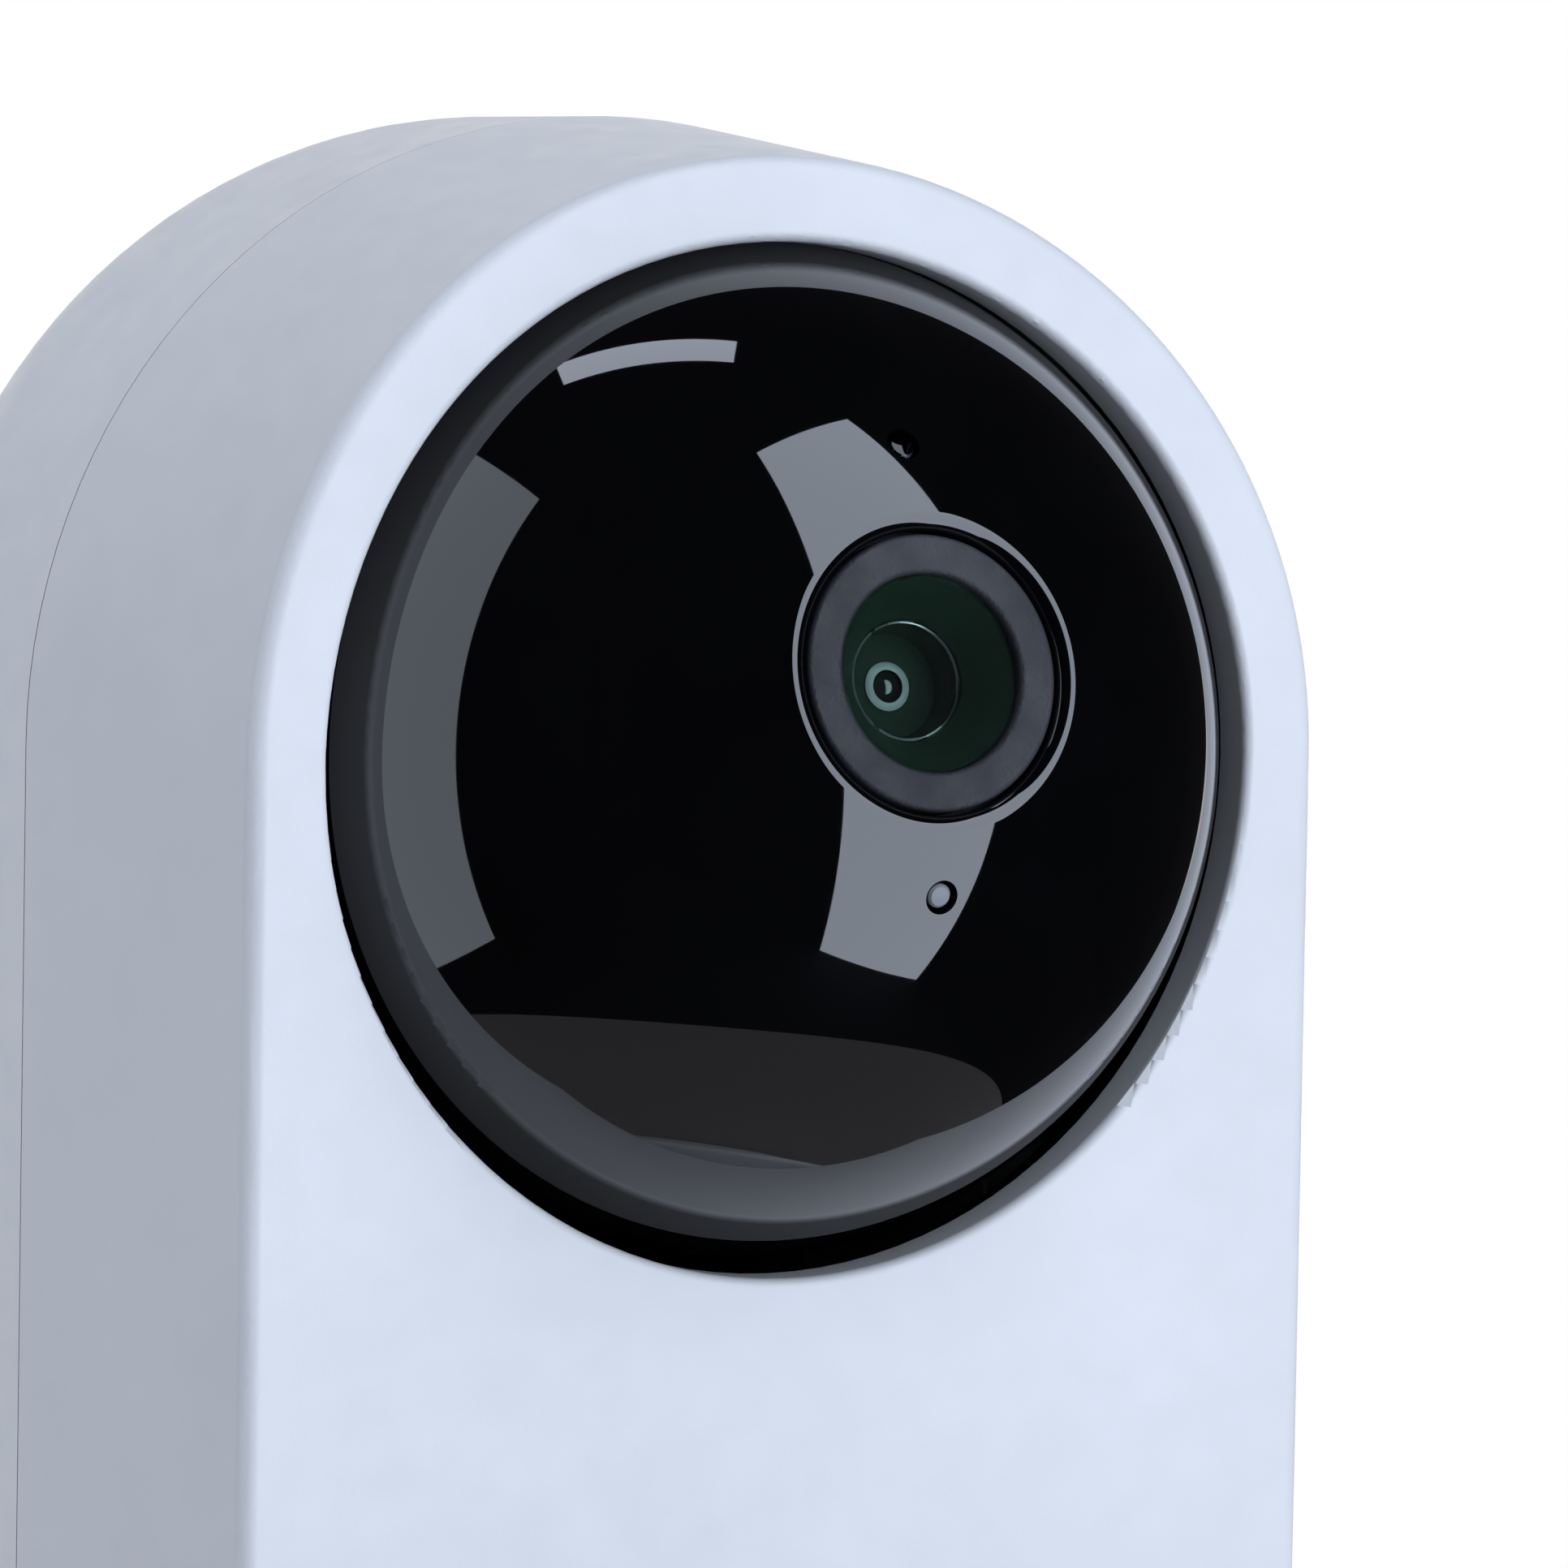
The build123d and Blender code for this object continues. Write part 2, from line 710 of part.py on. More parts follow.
screws_at([Plane(origin=(x, face_y + bezel_depth, eye_z + z), x_dir=(1, 0, 0), z_dir=(0, -1, 0))
           for x, z in bezel_ear_places],
          bezel_depth - face_wall + bezel_screw_bite, "bezel_screws")

# Chassis and tilt arms

arm_screw_x = arm_x - arm_foot / 2
chassis_plane = Plane(origin=(0, chassis_y, 0), x_dir=(1, 0, 0), z_dir=(0, -1, 0))
arm_screw_places = [(x, ball_center.Z + dz) for x in (-arm_screw_x, arm_screw_x)
                    for dz in (-arm_screw_spread, arm_screw_spread)]
board_screw_x = main_board_size[0] / 2 - board_screw_inset
board_screw_z = main_board_size[1] / 2 - board_screw_inset
board_screw_places = [(x, main_board_z + z) for x in (-board_screw_x, board_screw_x)
                      for z in (-board_screw_z, board_screw_z)]
with BuildPart() as chassis:
    with BuildSketch(chassis_plane) as plate:
        with Locations((0, (chassis_bottom_z + chassis_top_z) / 2)):
            Rectangle(2 * chassis_half_width, chassis_top_z - chassis_bottom_z)
        fillet(plate.vertices().group_by(Axis.Z)[-1], chassis_corner)
        with Locations((0, ball_center.Z)):
            Rectangle(2 * chassis_bar_half_width, chassis_bar_height)
        for x in (-leg_x, leg_x):
            with Locations((x, floor_top)):
                Rectangle(leg_outer_x - leg_inner_x, eye_z - floor_top, align=(Align.CENTER, Align.MIN))
    extrude(amount=-chassis_thick)
    for x in (-leg_x, leg_x):
        with Locations((x, chassis_y, floor_top)):
            Box(leg_outer_x - leg_inner_x, leg_foot_depth, leg_foot_thick,
                align=(Align.CENTER, Align.MAX, Align.MIN))
    with BuildSketch(chassis_plane.offset(-chassis_thick)):
        with Locations(*board_screw_places):
            Circle(standoff_radius)
    extrude(amount=-main_board_gap)
    with BuildSketch(chassis_plane):
        with Locations(*arm_screw_places, *board_screw_places):
            Circle(screw_radius + screw_gap)
    extrude(amount=-(chassis_thick + main_board_gap), mode=Mode.SUBTRACT)
    with BuildSketch(Plane.XY.offset(floor_top)):
        with Locations((-leg_x, leg_screw_y), (leg_x, leg_screw_y)):
            Circle(screw_radius + screw_gap)
    extrude(amount=leg_foot_thick, mode=Mode.SUBTRACT)
finish(chassis, "chassis")

screws_at([Plane(origin=(x, leg_screw_y, floor_top + leg_foot_thick), x_dir=(1, 0, 0), z_dir=(0, 0, -1))
           for x in (-leg_x, leg_x)],
          leg_foot_thick + floor_thick - fit_gap, "chassis_screws")


def tilt_arm(side, bore):
    """Arm from the chassis forward to the tilt axis, on the side +1 or -1."""
    arm_plane = Plane(origin=(side * arm_x, ball_center.Y, ball_center.Z), x_dir=(0, side, 0),
                      z_dir=(side, 0, 0))
    reach = chassis_y - ball_center.Y
    with BuildPart() as arm:
        with BuildSketch(arm_plane):
            Circle(arm_boss_radius)
            with Locations((side * reach / 2, 0)):
                Rectangle(reach, 2 * arm_boss_radius)
            with Locations((side * (reach + arm_neck_length) / 2, 0)):
                Rectangle(reach - arm_neck_length, arm_height)
        extrude(amount=arm_thick)
        with Locations((side * (arm_x + arm_thick), chassis_y, ball_center.Z)):
            Box(arm_foot + arm_thick, arm_foot_thick, chassis_bar_height,
                align=(Align.MAX if side > 0 else Align.MIN, Align.MAX, Align.CENTER))
        with BuildSketch(arm_plane):
            Circle(bore)
        extrude(amount=arm_thick, mode=Mode.SUBTRACT)
        with BuildSketch(chassis_plane):
            with Locations(*arm_screw_places):
                Circle(screw_radius + screw_gap)
        extrude(amount=arm_foot_thick, mode=Mode.SUBTRACT)
    return arm


tilt_arm_left = tilt_arm(-1, pin_radius + pin_clearance)
finish(tilt_arm_left, "tilt_arm_left")
tilt_arm_right = tilt_arm(1, shaft_radius + press_clearance)
finish(tilt_arm_right, "tilt_arm_right")

screws_at([Plane(origin=(x, chassis_y - arm_foot_thick, z), x_dir=(1, 0, 0), z_dir=(0, 1, 0))
           for x, z in arm_screw_places],
          arm_foot_thick + chassis_thick, "arm_screws")

# Ball: two shells closed by three screws, with a pin on the left and the tilt motor on the right

lens_axis = Axis(ball_center, lens_direction)
lens_section = Plane(origin=ball_center, x_dir=(1, 0, 0), z_dir=lens_direction.cross(Vector(-1, 0, 0)))
column_places = [(x, y) for x in (-column_spread[0], column_spread[0])
                 for y in (-column_spread[1], column_spread[1])]


def peep_plane(angle):
    """Plane through the middle of the ball, facing out at an angle above the lens."""
    tilt = math.radians(lens_tilt + angle)
    return Plane(origin=ball_center, x_dir=(1, 0, 0), z_dir=(0, -math.cos(tilt), math.sin(tilt)))


def side_plane(side, x):
    """Plane across the tilt axis at a distance x to one side, facing out."""
    return Plane(origin=(side * x, ball_center.Y, ball_center.Z), x_dir=(0, 1, 0), z_dir=(side, 0, 0))


with BuildPart() as front_ball_bosses:
    with BuildSketch(side_plane(-1, ball_radius - pin_boss_length)):
        Circle(pin_boss_radius)
    extrude(amount=pin_boss_length)
    with BuildSketch(side_plane(1, motor_collar_start)):
        Circle(tilt_motor_radius + press_clearance + motor_collar_wall)
    extrude(amount=ball_radius - motor_collar_start)
    with Locations(ball_plane.offset(-ball_split)):
        Box(2 * ball_radius, 2 * ball_radius, ball_radius,
            align=(Align.CENTER, Align.CENTER, Align.MAX), mode=Mode.SUBTRACT)
    with BuildSketch(ball_plane.offset(-ball_split)):
        with Locations(*ball_screw_places):
            Circle(ball_boss_radius)
    extrude(amount=ball_split + ball_boss_front)
    with BuildSketch(ball_plane.offset(sensor_board_front)):
        with Locations(*column_places):
            Circle(column_radius)
    extrude(amount=led_board_back - sensor_board_front)
    with BuildSketch(ball_plane.offset(led_board_back)):
        with Locations(*column_places):
            Circle(column_tip_radius)
    extrude(amount=ball_radius - led_board_back)
    with Locations(ball_plane):
        Sphere(ball_radius - ball_wall / 2, mode=Mode.INTERSECT)

with BuildPart() as ball_front_shell:
    with Locations(ball_plane):
        Sphere(ball_radius)
        Sphere(ball_radius - ball_wall, mode=Mode.SUBTRACT)
    split(bisect_by=ball_plane.offset(-ball_split), keep=Keep.TOP)
    with BuildSketch(ball_plane):
        Circle(lens_hole_radius)
    extrude(amount=ball_radius, mode=Mode.SUBTRACT)
    lens_hole_edges = ball_front_shell.edges().filter_by(GeomType.CIRCLE).filter_by(
        lambda edge: abs(edge.radius - lens_hole_radius) < 0.01)
    fillet(lens_hole_edges.sort_by(lens_axis)[-1], lens_hole_round)
    for angle in peep_angles:
        with BuildSketch(peep_plane(angle)):
            Circle(peep_radius)
        extrude(amount=ball_radius, mode=Mode.SUBTRACT)
    add(front_ball_bosses.part)
    with BuildSketch(side_plane(-1, ball_radius - pin_boss_length)):
        Circle(pin_radius + press_clearance)
    extrude(amount=pin_boss_length, mode=Mode.SUBTRACT)
    with BuildSketch(side_plane(1, motor_collar_start)):
        Circle(tilt_motor_radius + press_clearance)
    extrude(amount=tilt_motor_end - motor_collar_start, mode=Mode.SUBTRACT)
    with BuildSketch(side_plane(1, motor_collar_start)):
        Circle(shaft_radius + shaft_hole_gap)
    extrude(amount=ball_radius - motor_collar_start, mode=Mode.SUBTRACT)
    with BuildSketch(ball_plane.offset(-ball_split)):
        with Locations(*ball_screw_places):
            Circle(screw_radius + screw_gap)
    extrude(amount=ball_screw_bite + screw_tip_gap, mode=Mode.SUBTRACT)
    with BuildSketch(ball_plane.offset(sensor_board_front)):
        with Locations(*column_places):
            Circle(screw_radius + screw_gap)
    extrude(amount=column_hole_depth, mode=Mode.SUBTRACT)
finish(ball_front_shell, "ball_front_shell")

with BuildPart() as rear_ball_bosses:
    with BuildSketch(ball_plane.offset(-ball_split - ball_split_gap)):
        with Locations(*ball_screw_places):
            Circle(ball_well_radius)
    extrude(amount=-ball_radius)
    with Locations(ball_plane):
        Sphere(ball_radius - ball_wall / 2, mode=Mode.INTERSECT)

with BuildPart() as ball_rear_shell:
    with Locations(ball_plane):
        Sphere(ball_radius)
        Sphere(ball_radius - ball_wall, mode=Mode.SUBTRACT)
    split(bisect_by=ball_plane.offset(-ball_split - ball_split_gap), keep=Keep.BOTTOM)
    add(rear_ball_bosses.part)
    with BuildSketch(ball_plane.offset(-ball_screw_seat)):
        with Locations(*ball_screw_places):
            Circle(screw_head_radius + 2 * screw_gap)
    extrude(amount=-ball_radius, mode=Mode.SUBTRACT)
    with BuildSketch(ball_plane):
        with Locations(*ball_screw_places):
            Circle(screw_radius + screw_gap)
        with Locations((cable_slot_x, 0)):
            Rectangle(*cable_slot)
    extrude(amount=-ball_radius, mode=Mode.SUBTRACT)
finish(ball_rear_shell, "ball_rear_shell")

screws_at([Plane(origin=ball_plane.from_local_coords((x, y, -ball_screw_seat)), x_dir=(1, 0, 0),
                 z_dir=lens_direction) for x, y in ball_screw_places],
          ball_screw_seat - ball_split + ball_screw_bite, "ball_screws")

with BuildPart() as tilt_pin:
    with BuildSketch(side_plane(-1, ball_radius - pin_boss_length + fit_gap)):
        Circle(pin_radius)
    extrude(amount=arm_x + arm_thick - ball_radius + pin_boss_length - 2 * fit_gap)
finish(tilt_pin, "tilt_pin")

with BuildPart() as tilt_motor:
    with BuildSketch(side_plane(1, tilt_motor_start)):
        Circle(tilt_motor_radius)
    extrude(amount=tilt_motor_end - tilt_motor_start)
    with BuildSketch(side_plane(1, tilt_motor_end)):
        Circle(shaft_radius + shaft_clearance)
    extrude(amount=-(shaft_reach + shaft_end_gap), mode=Mode.SUBTRACT)
finish(tilt_motor, "tilt_motor")

with BuildPart() as tilt_shaft:
    with BuildSketch(side_plane(1, tilt_motor_end - shaft_reach)):
        Circle(shaft_radius)
    extrude(amount=arm_x + arm_thick - tilt_motor_end + shaft_reach)
finish(tilt_shaft, "tilt_shaft")

# Lens and boards in the ball

with BuildPart() as lens_ring:
    with BuildSketch(ball_plane.offset(ring_back)):
        Circle(ring_radius)
    extrude(amount=ring_front - ring_back)
    with BuildSketch(ball_plane.offset(ring_back)):
        Circle(ring_flange_radius)
    extrude(amount=ring_flange_depth)
    with BuildSketch(ball_plane.offset(ring_back)):
        Circle(ring_bore)
    extrude(amount=ring_front - ring_back, mode=Mode.SUBTRACT)
    ring_edges = lens_ring.edges().group_by(lens_axis)[-1]
    fillet(ring_edges, ring_edge_round)
finish(lens_ring, "lens_ring")

glass_radius = ring_bore - fit_gap
dome_radius = (glass_radius ** 2 + glass_dome ** 2) / (2 * glass_dome)
with BuildPart() as lens_front_glass:
    with BuildSketch(lens_section):
        with BuildLine():
            crown = ring_back + glass_edge + glass_dome
            dome = CenterArc((0, crown - dome_radius), dome_radius, 90,
                             -math.degrees(math.asin(glass_radius / dome_radius)))
            Polyline(dome @ 1, (glass_radius, ring_back), (0, ring_back), dome @ 0)
        make_face()
    revolve(axis=lens_axis)
finish(lens_front_glass, "lens_front_glass")

middle_glass_back = middle_glass_front - middle_glass_thick
barrel_front = ring_back - fit_gap
with BuildPart() as lens_barrel:
    with BuildSketch(lens_section):
        with BuildLine():
            Polyline((middle_glass_radius + fit_gap, middle_glass_front), (barrel_mouth_radius, barrel_front),
                     (barrel_head_radius, barrel_front),
                     (barrel_head_radius, barrel_front - barrel_head_length),
                     (barrel_radius, barrel_front - barrel_head_length), (barrel_radius, barrel_back),
                     (rear_glass_radius + fit_gap, barrel_back), (rear_glass_radius + fit_gap, stop_back),
                     (stop_radius, stop_back), (stop_radius, middle_glass_back - fit_gap),
                     (middle_glass_radius + fit_gap, middle_glass_back - fit_gap), close=True)
        make_face()
    revolve(axis=lens_axis)
finish(lens_barrel, "lens_barrel")

with BuildPart() as lens_middle_glass:
    with BuildSketch(ball_plane.offset(middle_glass_back)):
        Circle(middle_glass_radius)
    extrude(amount=middle_glass_thick)
finish(lens_middle_glass, "lens_middle_glass")

with BuildPart() as lens_rear_glass:
    with BuildSketch(ball_plane.offset(rear_glass_front)):
        Circle(rear_glass_radius)
    extrude(amount=-rear_glass_thick)
finish(lens_rear_glass, "lens_rear_glass")

with BuildPart() as lens_holder:
    with BuildSketch(ball_plane.offset(sensor_board_front)):
        RectangleRounded(holder_size, holder_size, holder_corner)
    extrude(amount=holder_height)
    with BuildSketch(ball_plane.offset(sensor_board_front)):
        Circle(barrel_radius + fit_gap)
    extrude(amount=holder_height, mode=Mode.SUBTRACT)
    with BuildSketch(ball_plane.offset(sensor_board_front)):
        Rectangle(holder_hollow[0], holder_hollow[0])
    extrude(amount=holder_hollow[1], mode=Mode.SUBTRACT)
finish(lens_holder, "lens_holder")

with BuildPart() as image_sensor:
    with BuildSketch(ball_plane.offset(sensor_board_front)):
        Rectangle(chip_size[0], chip_size[1])
    extrude(amount=chip_size[2])
finish(image_sensor, "image_sensor")

with BuildPart() as sensor_board:
    with BuildSketch(ball_plane.offset(sensor_board_front)):
        RectangleRounded(*sensor_board_size, board_corner)
        with Locations(*column_places):
            Circle(screw_radius + screw_gap, mode=Mode.SUBTRACT)
    extrude(amount=-board_thick)
finish(sensor_board, "sensor_board")

screws_at([Plane(origin=ball_plane.from_local_coords((x, y, sensor_board_front - board_thick)),
                 x_dir=(1, 0, 0), z_dir=lens_direction) for x, y in column_places],
          board_thick + sensor_screw_bite, "sensor_screws")

with BuildPart() as led_board:
    with BuildSketch(ball_plane.offset(led_board_back)):
        Circle(led_board_radius)
        Circle(led_board_bore, mode=Mode.SUBTRACT)
        with Locations(*column_places):
            Circle(column_tip_radius + fit_gap, mode=Mode.SUBTRACT)
    extrude(amount=board_thick)
finish(led_board, "led_board")

with BuildPart() as infrared_leds:
    with BuildSketch(ball_plane.offset(led_board_back + board_thick)):
        with PolarLocations(led_ring_radius, led_count):
            Circle(led_radius)
    extrude(amount=led_height)
    fillet(infrared_leds.edges().group_by(lens_axis)[-1], led_radius / 2)
finish(infrared_leds, "infrared_leds")


def peep_plug(angle):
    """Stepped plug behind a small hole of the ball, set back from its surface."""
    plane = peep_plane(angle)
    back = ball_radius - peep_recess - peep_length
    with BuildPart() as plug:
        with BuildSketch(plane.offset(back)):
            Circle(peep_radius - fit_gap)
        extrude(amount=peep_length)
        with BuildSketch(plane.offset(back)):
            Circle(peep_flange_radius)
        extrude(amount=peep_flange_thick)
    return plug


status_window = peep_plug(peep_angles[0])
finish(status_window, "status_window")
light_sensor = peep_plug(peep_angles[1])
finish(light_sensor, "light_sensor")

# Electronics in the body

board_plane = Plane(origin=(0, board_back, 0), x_dir=(-1, 0, 0), z_dir=(0, 1, 0))
with BuildPart() as main_board:
    with BuildSketch(board_plane):
        with Locations((0, main_board_z)):
            RectangleRounded(*main_board_size, board_corner)
        with Locations(*board_screw_places):
            Circle(screw_radius + screw_gap, mode=Mode.SUBTRACT)
    extrude(amount=-main_board_thick)
finish(main_board, "main_board")

screws_at([Plane(origin=(x, board_back, z), x_dir=(1, 0, 0), z_dir=(0, -1, 0))
           for x, z in board_screw_places],
          main_board_thick + main_board_gap + chassis_thick, "board_screws")

with BuildPart() as rf_shield:
    with BuildSketch(board_plane):
        with Locations((0, shield_z)):
            RectangleRounded(shield_size[0], shield_size[1], shield_corner)
    extrude(amount=shield_size[2])
finish(rf_shield, "rf_shield")

usb_length = back_y - usb_recess - board_back
with BuildPart() as usb_socket:
    with BuildSketch(board_plane):
        with Locations((0, usb_z)):
            SlotOverall(*usb_size)
    extrude(amount=usb_length)
    with BuildSketch(board_plane.offset(usb_length)):
        with Locations((0, usb_z)):
            SlotOverall(usb_size[0] - 2 * usb_shell, usb_size[1] - 2 * usb_shell)
            Rectangle(*usb_tongue, mode=Mode.SUBTRACT)
    extrude(amount=-usb_depth, mode=Mode.SUBTRACT)
finish(usb_socket, "usb_socket")

switch_top = board_back + switch_height
with BuildPart() as reset_switch:
    with Locations((reset_x, board_back, usb_z)):
        Box(switch_size, switch_height - switch_stem_height, switch_size,
            align=(Align.CENTER, Align.MIN, Align.CENTER))
    with BuildSketch(board_plane):
        with Locations((-reset_x, usb_z)):
            Circle(switch_stem_radius)
    extrude(amount=switch_height)
finish(reset_switch, "reset_switch")

button_inner_y = switch_top + button_travel + button_gap
with BuildPart() as reset_button:
    with BuildSketch(board_plane.offset(button_inner_y - board_back)):
        with Locations((-reset_x, usb_z)):
            Circle(button_radius)
    extrude(amount=back_y - button_gap - button_inner_y)
    with BuildSketch(board_plane.offset(back_y - wall - button_gap - board_back)):
        with Locations((-reset_x, usb_z)):
            Circle(button_flange_radius)
    extrude(amount=-button_flange_thick)
finish(reset_button, "reset_button")

speaker_plane = Plane(origin=(0, back_y - wall - fit_gap - speaker_depth, speaker_z), x_dir=(-1, 0, 0),
                      z_dir=(0, 1, 0))
with BuildPart() as speaker_frame:
    with BuildSketch(speaker_plane):
        Circle(speaker_radius)
    extrude(amount=speaker_depth)
    with BuildSketch(speaker_plane.offset(speaker_wall)):
        Circle(speaker_radius - speaker_wall)
    extrude(amount=speaker_depth, mode=Mode.SUBTRACT)
finish(speaker_frame, "speaker_frame")

with BuildPart() as speaker_cone:
    cone_edge = speaker_radius - speaker_wall - fit_gap
    rim = speaker_depth - cone_inset
    with BuildSketch(Plane(origin=speaker_plane.origin, x_dir=(1, 0, 0), z_dir=(0, 0, 1))):
        with BuildLine():
            Polyline((0, rim - cone_depth), (cap_radius, rim - cone_depth - cone_thick),
                     (cone_edge, rim - cone_thick),
                     (cone_edge, rim), (cap_radius, rim - cone_depth + cone_thick),
                     (0, rim - cone_depth + cap_height), close=True)
        make_face()
    revolve(axis=Axis(speaker_plane.origin, (0, 1, 0)))
finish(speaker_cone, "speaker_cone")

with BuildPart() as antenna:
    with Locations((antenna_x, chassis_back, antenna_z)):
        Box(*antenna_size, align=(Align.CENTER, Align.MIN, Align.CENTER))
finish(antenna, "antenna")
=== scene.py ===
# %% [markdown]
# # A pan and tilt room camera
# The camera is a white arched body that turns on a round base. A black ball sits in the round
# window of the body and tilts, and the lens looks out of the ball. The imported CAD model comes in
# as a fixed frame: every CAD piece keeps its place, and this lesson gives it a finish, or builds a
# finer piece in the same place and lets that stand for it.

# %% Load the frame
import json
import math

import bpy
import numpy as np
from mathutils import Matrix, Vector


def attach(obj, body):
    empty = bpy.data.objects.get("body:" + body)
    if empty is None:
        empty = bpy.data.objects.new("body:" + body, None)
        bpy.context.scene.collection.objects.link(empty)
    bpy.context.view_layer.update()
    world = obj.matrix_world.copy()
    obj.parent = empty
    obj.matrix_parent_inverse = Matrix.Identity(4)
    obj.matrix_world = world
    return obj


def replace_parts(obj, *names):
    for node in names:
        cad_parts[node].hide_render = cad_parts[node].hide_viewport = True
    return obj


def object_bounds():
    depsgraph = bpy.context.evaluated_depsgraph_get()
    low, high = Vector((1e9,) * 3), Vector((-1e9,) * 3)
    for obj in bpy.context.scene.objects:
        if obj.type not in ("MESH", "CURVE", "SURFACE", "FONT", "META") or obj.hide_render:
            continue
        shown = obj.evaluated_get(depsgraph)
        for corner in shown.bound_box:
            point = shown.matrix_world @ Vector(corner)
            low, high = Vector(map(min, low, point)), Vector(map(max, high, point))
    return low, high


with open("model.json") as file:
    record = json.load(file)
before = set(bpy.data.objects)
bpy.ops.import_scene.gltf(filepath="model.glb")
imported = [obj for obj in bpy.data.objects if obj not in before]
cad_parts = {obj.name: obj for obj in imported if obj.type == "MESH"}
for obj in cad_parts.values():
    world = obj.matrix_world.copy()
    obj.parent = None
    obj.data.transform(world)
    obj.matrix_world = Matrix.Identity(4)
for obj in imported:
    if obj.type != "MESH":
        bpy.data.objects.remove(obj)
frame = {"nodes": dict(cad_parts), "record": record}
cad_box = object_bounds()
nodes = frame["nodes"]
slot_of = {row["node"]: row["material_slot"] for row in frame["record"]["subparts"]}
MM = 0.001
print(f"{len(nodes)} CAD nodes, box {[round(v / MM, 1) for v in cad_box[1] - cad_box[0]]} mm")

# %% [markdown]
# ## Viewpoint
# The photograph is taken from the left of the camera's front, a little above the lens, with a long
# lens close enough to crop the base away. A camera could be placed by eye; here its angle, its
# distance and the place of the window's middle in the picture are numbers, so that each can be tuned alone.

# %% Camera
PHOTO = 1932
window_middle = Vector((0, -29 * MM, 80 * MM))
yaw, rise, roll = math.radians(-28.0), math.radians(3.5), math.radians(0.96)
camera_distance = 0.5307
pixels_per_mm = 21.33
middle_pixel = (985.5, 939.3)
SENSOR = 36

towards_camera = Vector((math.sin(yaw) * math.cos(rise), -math.cos(yaw) * math.cos(rise), math.sin(rise)))
camera_data = bpy.data.cameras.new("photo_camera")
photo_camera = bpy.data.objects.new("photo_camera", camera_data)
bpy.context.scene.collection.objects.link(photo_camera)
turn = (-towards_camera).to_track_quat("-Z", "Y") @ Matrix.Rotation(roll, 3, "Z").to_quaternion()
right, up = turn @ Vector((1, 0, 0)), turn @ Vector((0, 1, 0))
aim = window_middle - right * (middle_pixel[0] - PHOTO / 2) / pixels_per_mm * MM
aim = aim + up * (middle_pixel[1] - PHOTO / 2) / pixels_per_mm * MM
photo_camera.rotation_mode = "QUATERNION"
photo_camera.rotation_quaternion = turn
photo_camera.location = aim + towards_camera * camera_distance
camera_data.sensor_width = SENSOR
camera_data.lens = SENSOR * pixels_per_mm * camera_distance / MM / PHOTO
camera_data.clip_start, camera_data.clip_end = 0.05, 20
bpy.context.scene.camera = photo_camera
print(f"camera lens {camera_data.lens:.1f} mm at {camera_distance} m")

# %% [markdown]
# ## Light and background
# The black ball is a mirror, so the lights show in it as shapes: a tall panel on the left, a tall
# panel on the right and a small one above and behind. The room between them is dark. The white
# background comes from the world, which is white to the camera, to reflections and through glass. A
# small grey table stands under the camera and shows in the lower part of the ball. Dark flags, as
# photographers use, stand all round and keep the white room out of the ball and the lens.

# %% World, floor and flags
scene = bpy.context.scene
scene.view_settings.view_transform = "Standard"
world = bpy.data.worlds.new("white_room")
scene.world = world
world.use_nodes = True
tree = world.node_tree
tree.nodes.clear()
path = tree.nodes.new("ShaderNodeLightPath")
seen = tree.nodes.new("ShaderNodeMath")
seen.operation = "MAXIMUM"
seen_too = tree.nodes.new("ShaderNodeMath")
seen_too.operation = "MAXIMUM"
lit = tree.nodes.new("ShaderNodeBackground")
lit.inputs["Color"].default_value = (0.84, 0.89, 1.0, 1)
lit.inputs["Strength"].default_value = 0.22
white = tree.nodes.new("ShaderNodeBackground")
white.inputs["Color"].default_value = (1, 1, 1, 1)
white.inputs["Strength"].default_value = 1.0
mix = tree.nodes.new("ShaderNodeMixShader")
out = tree.nodes.new("ShaderNodeOutputWorld")
tree.links.new(path.outputs["Is Camera Ray"], seen.inputs[0])
tree.links.new(path.outputs["Is Glossy Ray"], seen.inputs[1])
tree.links.new(seen.outputs[0], seen_too.inputs[0])
tree.links.new(path.outputs["Is Transmission Ray"], seen_too.inputs[1])
tree.links.new(seen_too.outputs[0], mix.inputs[0])
tree.links.new(lit.outputs[0], mix.inputs[1])
tree.links.new(white.outputs[0], mix.inputs[2])
tree.links.new(mix.outputs[0], out.inputs["Surface"])


def panel(name, middle, facing, width, height):
    """A flat rectangle at a place, facing a point."""
    direction = (Vector(facing) - Vector(middle)).normalized()
    turned = direction.to_track_quat("Z", "Y").to_matrix()
    corners = [Vector((x * width / 2, y * height / 2, 0)) for x, y in ((-1, -1), (1, -1), (1, 1), (-1, 1))]
    mesh = bpy.data.meshes.new(name)
    mesh.from_pydata([turned @ c + Vector(middle) for c in corners], [], [(0, 1, 2, 3)])
    made = bpy.data.objects.new(name, mesh)
    scene.collection.objects.link(made)
    return made


def plain_material(name, colour, roughness):
    """A bare surface for the stage."""
    material = bpy.data.materials.new(name)
    material.use_nodes = True
    shader = material.node_tree.nodes["Principled BSDF"]
    shader.inputs["Base Color"].default_value = (*colour, 1)
    shader.inputs["Roughness"].default_value = roughness
    return material


def circle_angles(count):
    """Evenly spread angles of a full turn."""
    return np.linspace(0, 2 * math.pi, count + 1)[:-1]


